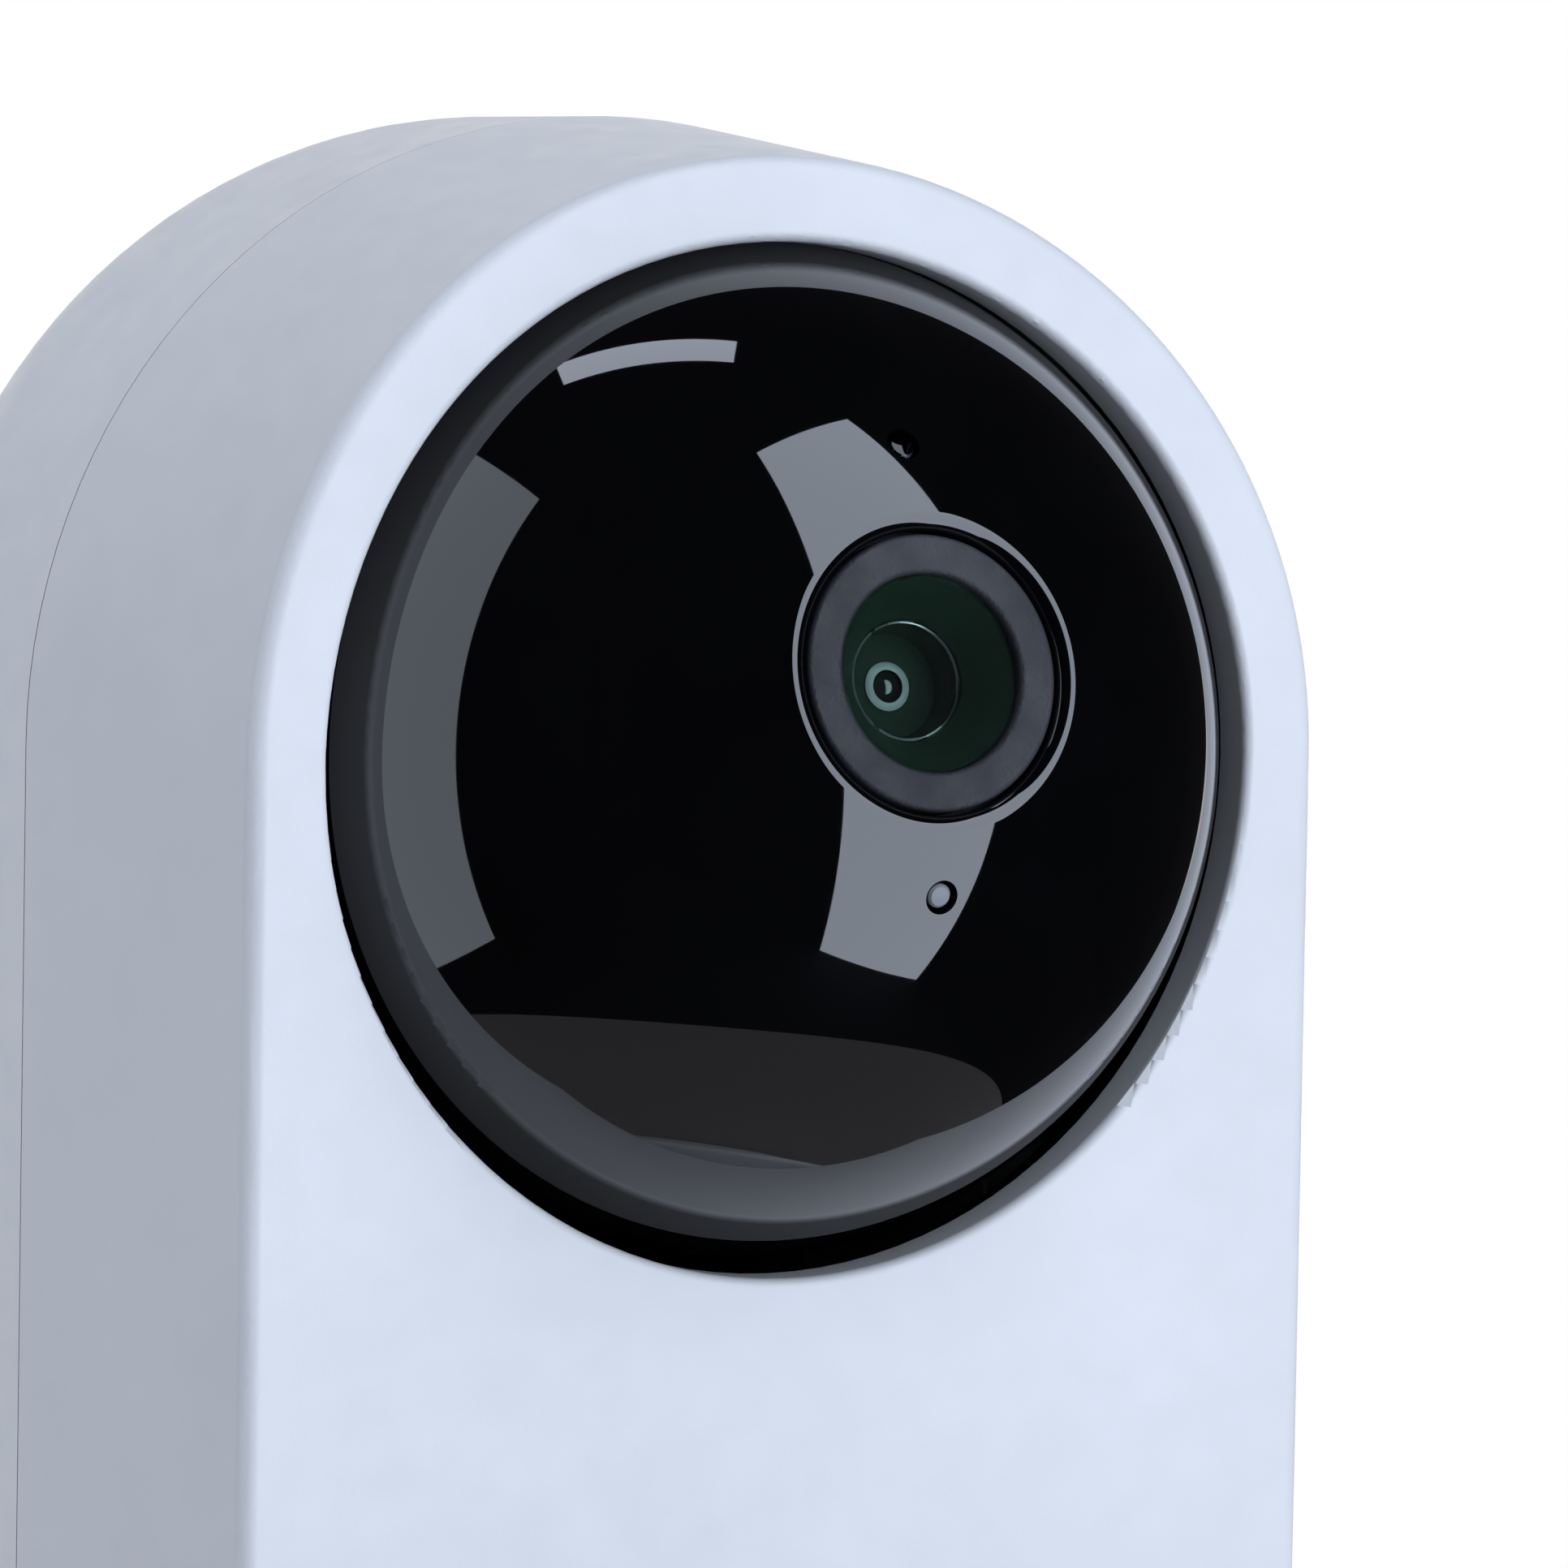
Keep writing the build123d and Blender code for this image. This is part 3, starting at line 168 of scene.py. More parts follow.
TABLE_RADIUS, TABLE_CORNERS = 0.08, 96
floor_mesh = bpy.data.meshes.new("floor")
rim_points = [(TABLE_RADIUS * math.cos(t), TABLE_RADIUS * math.sin(t), cad_box[0].z)
              for t in circle_angles(TABLE_CORNERS)]
floor_mesh.from_pydata(rim_points, [], [tuple(range(TABLE_CORNERS))])
floor = bpy.data.objects.new("floor", floor_mesh)
scene.collection.objects.link(floor)
floor.data.materials.append(plain_material("table_grey", (0.30, 0.27, 0.25), 0.8))
flag_black = plain_material("flag_black", (0.004, 0.004, 0.004), 1.0)
flags_face = (0, 0, 0.1)
for name, middle, width, height in (("flag_front", (-0.3, -2.6, 0.8), 8.0, 8.0),
                                    ("flag_left", (-3.0, -0.6, 0.8), 8.0, 8.0),
                                    ("flag_right", (3.0, -0.9, 0.8), 8.0, 8.0),
                                    ("flag_top", (0, -0.8, 2.8), 9.0, 9.0),
                                    ("flag_under", (0, -0.6, -1.6), 9.0, 9.0)):
    flag = panel(name, middle, flags_face, width, height)
    flag.data.materials.append(flag_black)
    flag.visible_camera = False
    flag.visible_diffuse = False
    flag.visible_shadow = False
print("white world, grey table, five dark flags")

# %% [markdown]
# ## Lamps
# A lamp's picture in a ball tells where the lamp stands, so each lamp is placed by its direction from the
# ball, given as right, up and towards the camera in the photograph. Its size is the size of its picture.

# %% Lamps
ball_middle = Vector((0, -16.4, 80.3)) * MM
LAMP_DISTANCE = 1.2


def softbox(name, direction, width, height, power, colour, upright):
    """A rectangular lamp that faces the ball from a direction, with its height along upright."""
    way = (right * direction[0] + up * direction[1] + towards_camera * direction[2]).normalized()
    data = bpy.data.lights.new(name, "AREA")
    data.shape = "RECTANGLE"
    data.size, data.size_y = width, height
    data.energy = power
    data.color = colour
    lamp = bpy.data.objects.new(name, data)
    scene.collection.objects.link(lamp)
    lamp.location = ball_middle + way * LAMP_DISTANCE
    across = upright.cross(way).normalized()
    lamp.rotation_mode = "QUATERNION"
    lamp.rotation_quaternion = Matrix((across, way.cross(across), way)).transposed().to_quaternion()
    return lamp


COOL = (0.76, 0.85, 1.0)
softbox("left_panel", (-0.955, 0.11, 0.26), 0.95, 2.5, 10.5, COOL, up)
softbox("right_panel", (0.76, 0.15, 0.62), 0.85, 3.9, 36, COOL, up)
softbox("top_panel", (-0.135, 0.985, -0.09), 0.55, 0.15, 0.95, COOL, towards_camera)
print(f"{len(bpy.data.lights)} lamps")

# %% [markdown]
# ## Finishes
# Most pieces are moulded plastic. Even a plain moulding has a fine grain, small changes of gloss and
# faint clouds in its colour, so each finish mixes two close colours by one noise and bends the
# surface by a much finer one. Metal gets streaks along its length.

# %% Finish helpers
CLOUDS_PER_METRE, GLOSS_PER_METRE, STREAKS_PER_METRE, POLISH_PER_METRE = 90, 400, 900, 300


def finish_tree(name):
    """A new material with its shader, and the place on the piece to pattern it by."""
    material = bpy.data.materials.new(name)
    material.use_nodes = True
    shader = material.node_tree.nodes["Principled BSDF"]
    place = material.node_tree.nodes.new("ShaderNodeTexCoord").outputs["Object"]
    return material, material.node_tree, shader, place


def noise(tree, place, per_metre, detail=2.0, stretch=(1, 1, 1)):
    """Noise of a number of grains per metre."""
    mapping = tree.nodes.new("ShaderNodeMapping")
    mapping.inputs["Scale"].default_value = stretch
    tree.links.new(place, mapping.inputs["Vector"])
    texture = tree.nodes.new("ShaderNodeTexNoise")
    texture.inputs["Scale"].default_value = per_metre
    texture.inputs["Detail"].default_value = detail
    tree.links.new(mapping.outputs[0], texture.inputs["Vector"])
    return texture.outputs["Fac"]


def between(tree, factor, low, high):
    """A value between two numbers."""
    remap = tree.nodes.new("ShaderNodeMapRange")
    remap.inputs["From Min"].default_value = 0.3
    remap.inputs["From Max"].default_value = 0.7
    remap.inputs["To Min"].default_value = low
    remap.inputs["To Max"].default_value = high
    tree.links.new(factor, remap.inputs["Value"])
    return remap.outputs["Result"]


def two_colours(tree, factor, first, second):
    """A colour between two close ones."""
    blend = tree.nodes.new("ShaderNodeMix")
    blend.data_type = "RGBA"
    blend.inputs[6].default_value = (*first, 1)
    blend.inputs[7].default_value = (*second, 1)
    tree.links.new(between(tree, factor, 0, 1), blend.inputs[0])
    return blend.outputs[2]


def roughen(tree, shader, factor, depth_mm, strength=1.0):
    """Bends the surface by a height pattern of a depth."""
    bump = tree.nodes.new("ShaderNodeBump")
    bump.inputs["Distance"].default_value = depth_mm * MM
    bump.inputs["Strength"].default_value = strength
    tree.links.new(factor, bump.inputs["Height"])
    tree.links.new(bump.outputs["Normal"], shader.inputs["Normal"])


def moulding(name, first, second, gloss, grain, depth_mm, specular=0.5, strength=1.0):
    """Moulded plastic: clouds of two close colours, uneven gloss and a fine grain."""
    material, tree, shader, place = finish_tree(name)
    clouds = noise(tree, place, CLOUDS_PER_METRE, 3)
    tree.links.new(two_colours(tree, clouds, first, second), shader.inputs["Base Color"])
    tree.links.new(between(tree, noise(tree, place, GLOSS_PER_METRE), *gloss), shader.inputs["Roughness"])
    roughen(tree, shader, noise(tree, place, grain), depth_mm, strength)
    shader.inputs["Specular IOR Level"].default_value = specular
    return material


def metal(name, first, second, gloss, stretch):
    """Drawn or turned metal with streaks."""
    material, tree, shader, place = finish_tree(name)
    streaks = noise(tree, place, STREAKS_PER_METRE, 3, stretch)
    tree.links.new(two_colours(tree, streaks, first, second), shader.inputs["Base Color"])
    tree.links.new(between(tree, streaks, *gloss), shader.inputs["Roughness"])
    roughen(tree, shader, streaks, 0.01, 0.4)
    shader.inputs["Metallic"].default_value = 1.0
    return material


# %% Finishes by the record's slots
# Mouldings: two colours, range of roughness, grains per metre, their depth in mm and the sheen.
MOULDINGS = {
    "white_plastic": ((0.69, 0.69, 0.70), (0.715, 0.715, 0.725), (0.36, 0.46), 3000, 0.012, 0.5),
    "black_gloss": ((0.0012, 0.0012, 0.0015), (0.002, 0.002, 0.0025), (0.015, 0.03), 500, 0.0003, 0.9),
    "black_satin": ((0.003, 0.003, 0.0035), (0.005, 0.005, 0.006), (0.45, 0.6), 4200, 0.008, 0.03),
    "ring_grey": ((0.014, 0.014, 0.018), (0.032, 0.032, 0.039), (0.5, 0.65), 3600, 0.06, 0.4),
    "lens_black": ((0.004, 0.014, 0.008), (0.006, 0.019, 0.011), (0.5, 0.65), 900, 0.004, 0.05),
    "sensor_white": ((0.20, 0.21, 0.23), (0.25, 0.26, 0.28), (0.4, 0.55), 4000, 0.01),
    "board_green": ((0.01, 0.09, 0.035), (0.02, 0.14, 0.055), (0.3, 0.45), 700, 0.03),
    "chip_dark": ((0.015, 0.02, 0.05), (0.03, 0.035, 0.08), (0.1, 0.2), 900, 0.004),
    "led_clear": ((0.30, 0.28, 0.32), (0.4, 0.37, 0.42), (0.08, 0.16), 900, 0.004),
    "gear_white": ((0.72, 0.71, 0.66), (0.78, 0.77, 0.73), (0.4, 0.5), 2500, 0.015),
    "frame_grey": ((0.035, 0.035, 0.038), (0.055, 0.055, 0.06), (0.45, 0.6), 2600, 0.03),
    "washer_clear": ((0.66, 0.66, 0.63), (0.74, 0.74, 0.71), (0.25, 0.35), 1800, 0.006),
    "foot_rubber": ((0.022, 0.022, 0.024), (0.04, 0.04, 0.042), (0.75, 0.9), 3500, 0.06),
    "cone_paper": ((0.018, 0.018, 0.018), (0.045, 0.044, 0.042), (0.8, 0.95), 1800, 0.08),
}
# Metals: two colours, range of roughness and the stretch of the streaks.
METALS = {
    "steel": ((0.50, 0.50, 0.51), (0.62, 0.62, 0.63), (0.22, 0.36), (1, 1, 0.1)),
    "motor_steel": ((0.42, 0.42, 0.43), (0.52, 0.52, 0.54), (0.25, 0.4), (0.1, 1, 1)),
    "zinc": ((0.27, 0.27, 0.28), (0.36, 0.36, 0.37), (0.5, 0.7), (1, 1, 1)),
    "brass": ((0.62, 0.44, 0.17), (0.74, 0.55, 0.25), (0.2, 0.35), (1, 1, 0.1)),
    "copper": ((0.70, 0.36, 0.22), (0.78, 0.44, 0.28), (0.25, 0.4), (1, 1, 0.1)),
}
finishes = {name: moulding(name, *values) for name, values in MOULDINGS.items()}
finishes.update({name: metal(name, *values) for name, values in METALS.items()})


def glass(name, colour, roughness, bend):
    """Clear coated glass with a faint unevenness of its polish."""
    material, tree, shader, place = finish_tree(name)
    polish = noise(tree, place, POLISH_PER_METRE)
    duller = tuple(0.97 * c for c in colour)
    tree.links.new(two_colours(tree, polish, colour, duller), shader.inputs["Base Color"])
    shader.inputs["Roughness"].default_value = roughness
    shader.inputs["Transmission Weight"].default_value = 1.0
    shader.inputs["IOR"].default_value = bend
    return material


finishes["lens_glass"] = glass("lens_glass", (0.80, 0.97, 0.88), 0.01, 1.06)
finishes["window_glass"] = glass("window_glass", (0.05, 0.05, 0.06), 0.03, 1.5)
for name, node in nodes.items():
    node.data.materials.clear()
    node.data.materials.append(finishes[slot_of[name]])
print(f"{len(finishes)} finishes on {len(nodes)} nodes")

# %% [markdown]
# ## Smooth shading of the CAD pieces
# A CAD piece arrives as loose flat triangles. A small node tree joins them, shades them smooth and
# keeps every edge sharper than a set angle crisp; a Weighted Normal modifier then keeps the flat faces flat.

# %% Smoothing tree
smoothing = bpy.data.node_groups.new("smooth_cad_piece", "GeometryNodeTree")
smoothing.interface.new_socket("Geometry", in_out="INPUT", socket_type="NodeSocketGeometry")
angle_socket = smoothing.interface.new_socket("Sharp angle", in_out="INPUT", socket_type="NodeSocketFloat")
angle_socket.default_value = math.radians(28)
smoothing.interface.new_socket("Geometry", in_out="OUTPUT", socket_type="NodeSocketGeometry")
enter = smoothing.nodes.new("NodeGroupInput")
leave = smoothing.nodes.new("NodeGroupOutput")
join = smoothing.nodes.new("GeometryNodeMergeByDistance")
join.inputs["Distance"].default_value = 1e-6
soft = smoothing.nodes.new("GeometryNodeSetShadeSmooth")
edge_angle = smoothing.nodes.new("GeometryNodeInputMeshEdgeAngle")
sharper = smoothing.nodes.new("FunctionNodeCompare")
sharper.operation = "GREATER_THAN"
crisp = smoothing.nodes.new("GeometryNodeSetShadeSmooth")
crisp.domain = "EDGE"
crisp.inputs["Shade Smooth"].default_value = False
smoothing.links.new(enter.outputs["Geometry"], join.inputs["Geometry"])
smoothing.links.new(join.outputs["Geometry"], soft.inputs["Geometry"])
smoothing.links.new(soft.outputs["Geometry"], crisp.inputs["Geometry"])
smoothing.links.new(edge_angle.outputs["Unsigned Angle"], sharper.inputs[0])
smoothing.links.new(enter.outputs["Sharp angle"], sharper.inputs[1])
smoothing.links.new(sharper.outputs["Result"], crisp.inputs["Selection"])
smoothing.links.new(crisp.outputs["Geometry"], leave.inputs["Geometry"])
for node in nodes.values():
    modifier = node.modifiers.new("smooth_cad_piece", "NODES")
    modifier.node_group = smoothing
    weighted = node.modifiers.new("flat_faces", "WEIGHTED_NORMAL")
    weighted.keep_sharp = True
    weighted.weight = 60
print(f"smoothed {len(nodes)} CAD pieces")

# %% [markdown]
# ## Round pieces
# The ball, the lens ring and the glasses are bodies of revolution about the lens axis. Their outline is
# drawn once as radius and distance from the middle of the ball, and turned round that axis into clean rings
# of quads, because a mirror-like ball shows every uneven triangle. Small roundings are arcs in the outline.

# %% Turning helpers
SHARP = 32
lens_tilt = math.radians(11.4)
lens_turn = Matrix(((1, 0, 0), (0, math.sin(lens_tilt), -math.cos(lens_tilt)),
                    (0, math.cos(lens_tilt), math.sin(lens_tilt))))


def arc(middle, radius, start, stop, steps):
    """Points of an arc in the outline, angles in degrees from the outward direction."""
    return [(middle[0] + radius * math.cos(math.radians(t)), middle[1] + radius * math.sin(math.radians(t)))
            for t in np.linspace(start, stop, steps)]


def mesh_piece(name, points, faces, slot, body, sharp_angle=SHARP):
    """A mesh of points in millimetres that rides on a body, with its sharp edges kept."""
    mesh = bpy.data.meshes.new(name)
    mesh.from_pydata([tuple(c * MM for c in p) for p in points], [], faces)
    mesh.validate()
    mesh.materials.append(finishes[slot])
    mesh.shade_smooth()
    mesh.set_sharp_from_angle(angle=math.radians(sharp_angle))
    made = bpy.data.objects.new(name, mesh)
    scene.collection.objects.link(made)
    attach(made, body)
    return made


def grid_faces(loops, around, closed):
    """Quads between loops of points that each have the same count."""
    faces = []
    for row in range(loops if closed else loops - 1):
        below, above = row * around, (row + 1) % loops * around
        for k in range(around):
            nxt = (k + 1) % around
            faces.append((below + k, below + nxt, above + nxt, above + k))
    return faces


LENS_FORWARD = 0.3
ON_AXIS = 1e-6


def turned(name, outline, slot, body, around=160, closed=True, sharp_angle=SHARP, forward=LENS_FORWARD):
    """Turns an outline of (radius, distance) about the lens axis; lens pieces are moved a little forward."""
    points, faces, rings = [], [], []
    middle = ball_middle / MM
    for radius, along in outline:
        along += forward
        if radius < ON_AXIS:
            rings.append([len(points)])
            points.append(middle + lens_turn @ Vector((0, 0, along)))
            continue
        rings.append(list(range(len(points), len(points) + around)))
        for k in range(around):
            t = 2 * math.pi * k / around
            points.append(middle + lens_turn @ Vector((radius * math.cos(t), radius * math.sin(t), along)))
    for low, high in zip(rings, rings[1:] + rings[:1] if closed else rings[1:]):
        for k in range(around):
            nxt = (k + 1) % around
            if len(low) > 1 and len(high) > 1:
                faces.append((low[k], low[nxt], high[nxt], high[k]))
            elif len(low) > 1:
                faces.append((low[k], low[nxt], high[0]))
            elif len(high) > 1:
                faces.append((low[0], high[nxt], high[k]))
    return mesh_piece(name, points, faces, slot, body, sharp_angle)


# %% [markdown]
# ## Ball
# The real ball is a thin polished shell, so its outline runs round the outside, over the rounded edge of the
# lens hole, and back along the inside. Two small holes, above and below the lens, are cut with round cutters.
# A Boolean leaves long faces round a hole, which a polished ball would show as dents, so every corner that
# lies on the outside gets the exact direction of the ball as its normal. This ball is 0.4 mm larger in
# radius than the CAD's, because in the photograph it comes close to the window edge, and the lens moves
# forward with it.

# %% Ball front
BALL, BALL_WALL, HOLE, HOLE_ROUND, SPLIT = 30.6, 2.2, 8.1, 0.8, -5.0
edge_z = math.sqrt((BALL - HOLE_ROUND) ** 2 - (HOLE + HOLE_ROUND) ** 2)
edge_turn = math.degrees(math.atan2(edge_z, HOLE + HOLE_ROUND))
split_turn = math.degrees(math.asin(SPLIT / BALL))
inner = BALL - BALL_WALL
ball_outline = arc((0, 0), BALL, split_turn, edge_turn, 72)
ball_outline += arc((HOLE + HOLE_ROUND, edge_z), HOLE_ROUND, edge_turn, 180, 12)[1:]
ball_outline += [(HOLE, math.sqrt(inner ** 2 - HOLE ** 2))]
ball_outline += arc((0, 0), inner, math.degrees(math.acos(HOLE / inner)),
                    math.degrees(math.asin(SPLIT / inner)), 40)[1:]
ball_skin = turned("ball_skin", ball_outline, "black_gloss", "ball", around=224, forward=0)


# %% Small holes of the ball
STATUS_ANGLE, SENSOR_ANGLE = 25.7, -24.4
PEEP_RADIUS, PEEP_DEPTH, PEEP_AHEAD, PEEP_SIDES = 1.0, 4.0, 2.0, 48


def peep_rings(angle_up, outline):
    """Rings of points, in mm from the ball's middle, round a line at an angle above the lens axis."""
    tilt = lens_tilt + math.radians(angle_up)
    way = Vector((0, -math.cos(tilt), math.sin(tilt)))
    across = Vector((1, 0, 0))
    third = way.cross(across)
    return [(across * math.cos(t) + third * math.sin(t)) * radius + way * distance
            for radius, distance in outline for t in circle_angles(PEEP_SIDES)]


def peep_faces(loops):
    """Walls between the rings, and a cap at each end."""
    last = (loops - 1) * PEEP_SIDES
    caps = [tuple(range(PEEP_SIDES - 1, -1, -1)), tuple(range(last, last + PEEP_SIDES))]
    return grid_faces(loops, PEEP_SIDES, False) + caps


def drill(piece, angle_up):
    """Cuts a round hole towards the middle of the ball, at an angle above the lens axis."""
    outline = [(PEEP_RADIUS, BALL - PEEP_DEPTH), (PEEP_RADIUS, BALL + PEEP_AHEAD)]
    mesh = bpy.data.meshes.new("drill")
    mesh.from_pydata([ball_middle + p * MM for p in peep_rings(angle_up, outline)], [], peep_faces(2))
    cutter = bpy.data.objects.new("drill", mesh)
    scene.collection.objects.link(cutter)
    cut = piece.modifiers.new("drill", "BOOLEAN")
    cut.object = cutter
    cut.operation = "DIFFERENCE"
    cut.solver = "EXACT"
    solid = bpy.data.meshes.new_from_object(piece.evaluated_get(bpy.context.evaluated_depsgraph_get()))
    piece.modifiers.remove(cut)
    piece.data = solid
    bpy.data.objects.remove(cutter)


def plug(name, angle_up, radius, slot, node):
    """A short round piece with a rounded front in one of the two small holes."""
    outline = [(radius, BALL - 2.5), (radius, BALL - 0.35), (0.8 * radius, BALL - 0.2), (0.05, BALL - 0.15)]
    points = [ball_middle / MM + p for p in peep_rings(angle_up, outline)]
    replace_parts(mesh_piece(name, points, peep_faces(len(outline)), slot, "ball"), node)


plug("status_lens", STATUS_ANGLE, 0.8, "window_glass", "status_window")
plug("sensor_lens", SENSOR_ANGLE, 0.7, "sensor_white", "light_sensor")
for angle in (STATUS_ANGLE, SENSOR_ANGLE):
    drill(ball_skin, angle)
print("two small holes with a window and a light sensor")

# %% Normals of the ball
ON_BALL = 2e-6


def ball_normals(piece):
    """Gives corners on the outside of the ball the ball's own direction."""
    mesh = piece.data
    mesh.shade_smooth()
    mesh.set_sharp_from_angle(angle=math.radians(SHARP))
    outside = [abs((v.co - ball_middle).length - BALL * MM) < ON_BALL for v in mesh.vertices]
    normals = [tuple(n.vector) for n in mesh.corner_normals]
    for face in mesh.polygons:
        if all(outside[v] for v in face.vertices):
            for corner in face.loop_indices:
                v = mesh.vertices[mesh.loops[corner].vertex_index]
                normals[corner] = tuple((v.co - ball_middle).normalized())
    mesh.normals_split_custom_set(normals)


ball_normals(ball_skin)
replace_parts(ball_skin, "ball_front_shell")
print(f"ball with {len(ball_skin.data.polygons)} faces")

# %% [markdown]
# ## Bezel and painted slit shade
# A black ring stands behind the face in the place of the CAD's bezel; its black is painted shade that darkens
# the slit between the ball and the window. Hardly more than its dark shows, so it is a plain ring: an outline
# of radius and depth behind the face, turned round the middle of the window. The order of the outline's
# points decides which way the faces point: outwards here.

# %% Bezel, its black painted shade in the slit
BEZEL_SHADE_SIDES = 160
bezel_shade_outline = [(31.0, 6.5), (32.2, 6.5), (32.2, 4.7), (30.5, 4.7)]
window_mm = window_middle / MM
bezel_shade_points = [window_mm + Vector((radius * math.cos(t), depth, radius * math.sin(t)))
                for radius, depth in bezel_shade_outline for t in circle_angles(BEZEL_SHADE_SIDES)]
bezel_shade_faces = grid_faces(len(bezel_shade_outline), BEZEL_SHADE_SIDES, True)
# The ring's black is painted shade: it darkens the slit between the ball and the window.
bezel_slit_shade = mesh_piece("bezel_slit_shade", bezel_shade_points, bezel_shade_faces, "black_satin", "body")
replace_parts(bezel_slit_shade, "bezel_ring")
print("black ring behind the window edge")

# %% [markdown]
# ## Lens
# The lens is a grained ring with a stack of glasses behind it. From the front one sees the nearly flat front
# glass, a bright seat where the next glass begins and, deep inside, a small grey stop round a dark bead. Each
# is turned on its own, so that the depth between them moves them apart when the view changes, as in a real
# lens.

# %% Lens ring and front glass
RING_OUT, RING_BORE, RING_BACK, RING_FRONT = 7.9, 5.65, 25.5, 28.6
SKIRT_OUT, SKIRT_FRONT = 9.0, 26.6
OUTER_ROUND, INNER_ROUND = 0.3, 0.35
ring_outline = [(RING_BORE, RING_BACK), (SKIRT_OUT, RING_BACK)]
ring_outline += [(SKIRT_OUT, SKIRT_FRONT), (RING_OUT, SKIRT_FRONT)]
ring_outline += arc((RING_OUT - OUTER_ROUND, RING_FRONT - OUTER_ROUND), OUTER_ROUND, 0, 90, 6)
ring_outline += arc((RING_BORE + INNER_ROUND, RING_FRONT - INNER_ROUND), INNER_ROUND, 90, 180, 6)
lens_rim = turned("lens_rim", ring_outline, "ring_grey", "ball", around=128)
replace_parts(lens_rim, "lens_ring")
GLASS, GLASS_MIDDLE, GLASS_EDGE = 5.55, 0.4, 0.1
CROWN, DOME, GLASS_BACK, HOLLOW = 28.45, 61.7, 27.9, 0.1
glass_outline = [(0, GLASS_BACK + HOLLOW)]
glass_outline += [(r, GLASS_BACK + HOLLOW * (1 - (r / GLASS) ** 2))
                  for r in np.linspace(GLASS_MIDDLE, GLASS - GLASS_EDGE, 12)]
glass_outline += [(GLASS, GLASS_BACK)]
glass_outline += [(r, CROWN - DOME + math.sqrt(DOME ** 2 - r ** 2))
                  for r in np.linspace(GLASS, GLASS_MIDDLE, 16)]
glass_outline += [(0, CROWN)]
front_glass = turned("front_glass", glass_outline, "lens_glass", "ball", around=96, closed=False)
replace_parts(front_glass, "lens_front_glass")
print("lens ring and front glass")

# %% Barrel and what shows in it
HEAD_OUT, HEAD_FRONT, HEAD_BACK = 7.4, 25.4, 21.4
MOUTH_OUT, MOUTH_FRONT, MOUTH_LIP = 5.6, 27.85, 0.15
SEAT, SEAT_FRONT, SEAT_STEP = 3.3, 25.2, 0.25
WELL, WELL_BACK = 3.0, 23.2
STOP, STOP_FRONT, STOP_BACK = 1.4, 23.0, 16.8
BARREL_OUT, BARREL_BORE, BARREL_BACK = 6.0, 2.8, 9.3
barrel_outline = [(HEAD_OUT, HEAD_FRONT), (MOUTH_OUT, HEAD_FRONT), (MOUTH_OUT, MOUTH_FRONT)]
barrel_outline += [(MOUTH_OUT - MOUTH_LIP, MOUTH_FRONT), (SEAT + SEAT_STEP, SEAT_FRONT + SEAT_STEP)]
barrel_outline += [(SEAT + SEAT_STEP, SEAT_FRONT), (SEAT, SEAT_FRONT), (WELL, WELL_BACK), (STOP, STOP_FRONT)]
barrel_outline += [(STOP, STOP_BACK), (BARREL_BORE, STOP_BACK), (BARREL_BORE, BARREL_BACK)]
barrel_outline += [(BARREL_OUT, BARREL_BACK), (BARREL_OUT, HEAD_BACK), (HEAD_OUT, HEAD_BACK)]
barrel = turned("barrel", barrel_outline, "lens_black", "ball", around=128, sharp_angle=25)
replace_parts(barrel, "lens_barrel")
seat_outline = [(SEAT, SEAT_FRONT), (3.42, SEAT_FRONT), (3.42, 25.33), (3.36, 25.37), (SEAT, 25.33)]
turned("seat_ring", seat_outline, "steel", "ball", around=128)
stop_outline = [(0.95, 23.15), (STOP, 23.05), (STOP, 23.12), (1.15, 23.24), (0.95, 23.22)]
turned("stop_ring", stop_outline, "sensor_white", "ball", around=96)
BEAD, BEAD_EDGE, BEAD_MIDDLE = 1.0, 0.94, 22.4
inner_outline = [(0, 20.7), (WELL, 20.7), (WELL, 22.6), (BEAD_EDGE, 22.8)]
inner_outline += [(r, BEAD_MIDDLE + math.sqrt(BEAD ** 2 - r ** 2)) for r in np.linspace(BEAD_EDGE, 0.1, 12)]
inner_outline += [(0, BEAD_MIDDLE + BEAD)]
inner_glass = turned("inner_glass", inner_outline, "black_gloss", "ball", around=96, closed=False)
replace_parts(inner_glass, "lens_middle_glass")
print("barrel, inner glass and two bright rings")

# %% [markdown]
# ## Screws
# Screws are all alike, so one node tree makes them: a head, a shank and a cross recess are built once and
# placed on every point of a small mesh of places. Its inputs are named after what they set, and the result
# becomes a plain mesh. The base's screws and the housing's screws differ only in length and direction.

# %% Screw tree
screw_tree = bpy.data.node_groups.new("screw_set", "GeometryNodeTree")
sockets = {}
for label, kind, value in (("Places", "Geometry", None), ("Head radius", "Float", 1.9 * MM),
                           ("Head height", "Float", 1.3 * MM), ("Shank radius", "Float", 1.0 * MM),
                           ("Shank length", "Float", 9.0 * MM), ("Recess width", "Float", 2.2 * MM),
                           ("Recess slot", "Float", 0.5 * MM), ("Turn", "Rotation", None),
                           ("Finish", "Material", None)):
    socket = screw_tree.interface.new_socket(label, in_out="INPUT", socket_type="NodeSocket" + kind)
    sockets[label] = socket.identifier
    if value is not None:
        socket.default_value = value
screw_tree.interface.new_socket("Geometry", in_out="OUTPUT", socket_type="NodeSocketGeometry")
given = screw_tree.nodes.new("NodeGroupInput")
result = screw_tree.nodes.new("NodeGroupOutput")


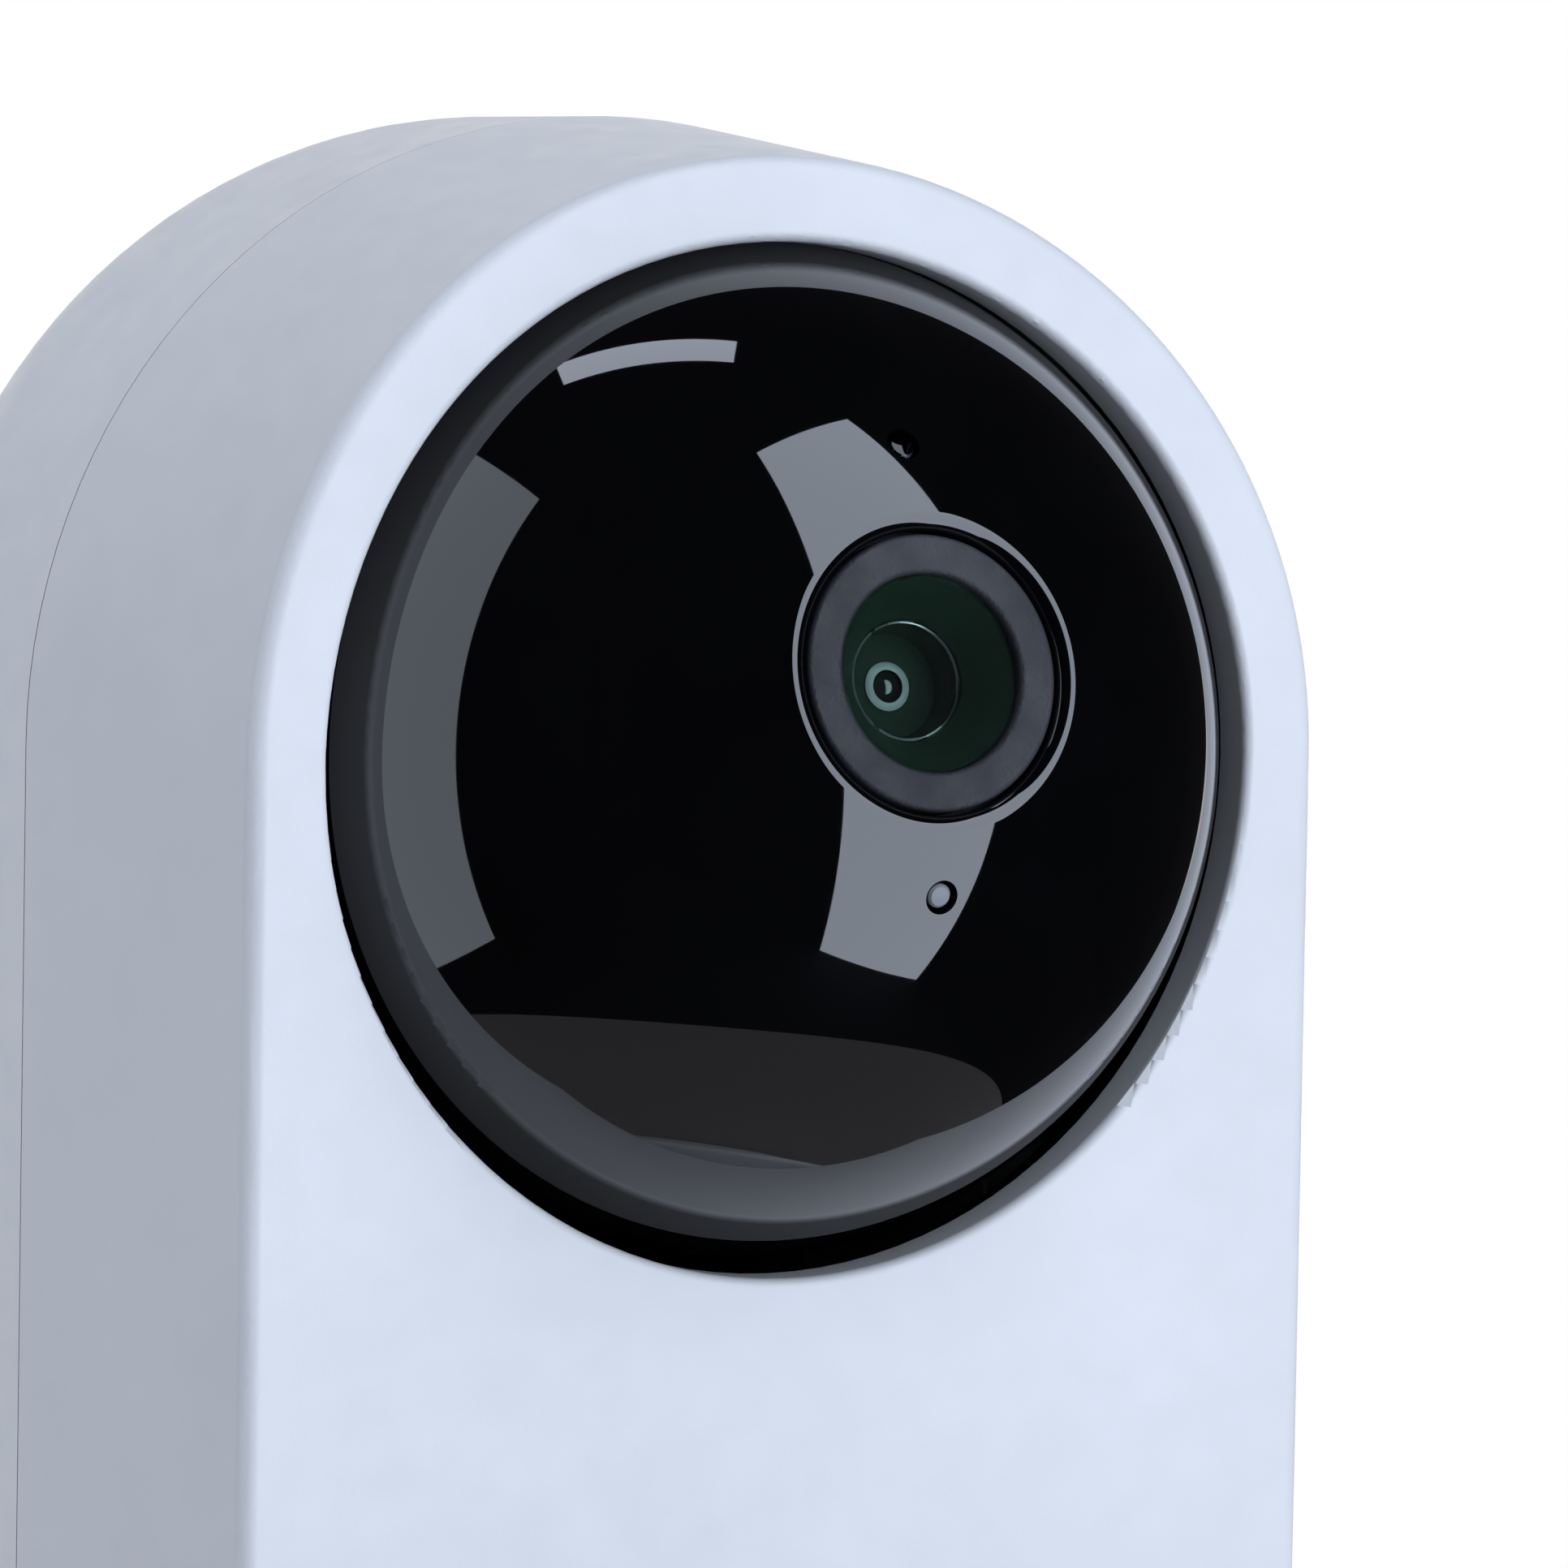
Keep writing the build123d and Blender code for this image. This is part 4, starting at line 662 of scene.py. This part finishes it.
def lifted(mesh, label, share):
    """Moves a mesh along the screw by a share of an input."""
    part = screw_tree.nodes.new("ShaderNodeMath")
    part.operation = "MULTIPLY"
    part.inputs[1].default_value = share
    screw_tree.links.new(given.outputs[label], part.inputs[0])
    lift = screw_tree.nodes.new("ShaderNodeCombineXYZ")
    screw_tree.links.new(part.outputs[0], lift.inputs["Z"])
    moved = screw_tree.nodes.new("GeometryNodeTransform")
    screw_tree.links.new(mesh, moved.inputs["Geometry"])
    screw_tree.links.new(lift.outputs[0], moved.inputs["Translation"])
    return moved.outputs["Geometry"]


def rod(radius, length, sign):
    """A cylinder from the seat of the head, up or down."""
    made = screw_tree.nodes.new("GeometryNodeMeshCylinder")
    made.inputs["Vertices"].default_value = 40
    screw_tree.links.new(given.outputs[radius], made.inputs["Radius"])
    screw_tree.links.new(given.outputs[length], made.inputs["Depth"])
    return lifted(made.outputs["Mesh"], length, sign / 2)


def recess_bar(across):
    """One bar of the cross recess, sunk in the top of the head."""
    size = screw_tree.nodes.new("ShaderNodeCombineXYZ")
    screw_tree.links.new(given.outputs["Recess width"], size.inputs["Y" if across else "X"])
    screw_tree.links.new(given.outputs["Recess slot"], size.inputs["X" if across else "Y"])
    screw_tree.links.new(given.outputs["Head height"], size.inputs["Z"])
    bar = screw_tree.nodes.new("GeometryNodeMeshCube")
    screw_tree.links.new(size.outputs[0], bar.inputs["Size"])
    return lifted(bar.outputs["Mesh"], "Head height", -1)


whole = screw_tree.nodes.new("GeometryNodeMeshBoolean")
whole.operation = "UNION"
screw_tree.links.new(rod("Head radius", "Head height", -1), whole.inputs["Mesh 2"])
screw_tree.links.new(rod("Shank radius", "Shank length", 1), whole.inputs["Mesh 2"])
recessed = screw_tree.nodes.new("GeometryNodeMeshBoolean")
recessed.operation = "DIFFERENCE"
screw_tree.links.new(whole.outputs["Mesh"], recessed.inputs["Mesh 1"])
screw_tree.links.new(recess_bar(False), recessed.inputs["Mesh 2"])
screw_tree.links.new(recess_bar(True), recessed.inputs["Mesh 2"])
spread = screw_tree.nodes.new("GeometryNodeInstanceOnPoints")
screw_tree.links.new(given.outputs["Places"], spread.inputs["Points"])
screw_tree.links.new(recessed.outputs["Mesh"], spread.inputs["Instance"])
screw_tree.links.new(given.outputs["Turn"], spread.inputs["Rotation"])
real = screw_tree.nodes.new("GeometryNodeRealizeInstances")
screw_tree.links.new(spread.outputs["Instances"], real.inputs["Geometry"])
finished = screw_tree.nodes.new("GeometryNodeSetMaterial")
screw_tree.links.new(real.outputs["Geometry"], finished.inputs["Geometry"])
screw_tree.links.new(given.outputs["Finish"], finished.inputs["Material"])
screw_tree.links.new(finished.outputs["Geometry"], result.inputs["Geometry"])
print(f"screw tree with {len(sockets)} inputs")


# %% Screw sets
def screw_set(name, places, length, turn, body, stands_for):
    """Screws at places in millimetres, made by the tree and kept as a plain mesh."""
    mesh = bpy.data.meshes.new(name + "_places")
    mesh.from_pydata([tuple(c * MM for c in place) for place in places], [], [])
    made = bpy.data.objects.new(name, mesh)
    scene.collection.objects.link(made)
    modifier = made.modifiers.new("screw_set", "NODES")
    modifier.node_group = screw_tree
    modifier[sockets["Shank length"]] = length * MM
    modifier[sockets["Turn"]] = turn
    modifier[sockets["Finish"]] = finishes["steel"]
    solid = bpy.data.meshes.new_from_object(made.evaluated_get(bpy.context.evaluated_depsgraph_get()))
    made.modifiers.remove(modifier)
    made.data = solid
    solid.shade_smooth()
    solid.set_sharp_from_angle(angle=math.radians(SHARP))
    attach(made, body)
    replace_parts(made, stands_for)
    print(f"{name}: {len(places)} screws, {len(solid.polygons)} faces")


BASE_CIRCLE, BASE_SEAT, BASE_LENGTH = 17, 1.4, 9.1
HOUSING_X, HOUSING_SEAT, HOUSING_HEIGHTS, HOUSING_LENGTH = 30.5, 8.0, (26.0, 52.0), 20.0
UPWARDS, FORWARDS = (0, 0, 0), (math.pi / 2, 0, 0)
base_places = [(BASE_CIRCLE * math.cos(t), BASE_CIRCLE * math.sin(t), BASE_SEAT)
               for t in (math.radians(angle) for angle in (90, 210, 330))]
screw_set("base_screw_set", base_places, BASE_LENGTH, UPWARDS, "base", "base_screws")
housing_places = [(x, HOUSING_SEAT, z) for x in (-HOUSING_X, HOUSING_X) for z in HOUSING_HEIGHTS]
screw_set("housing_screw_set", housing_places, HOUSING_LENGTH, FORWARDS, "body", "housing_screws")
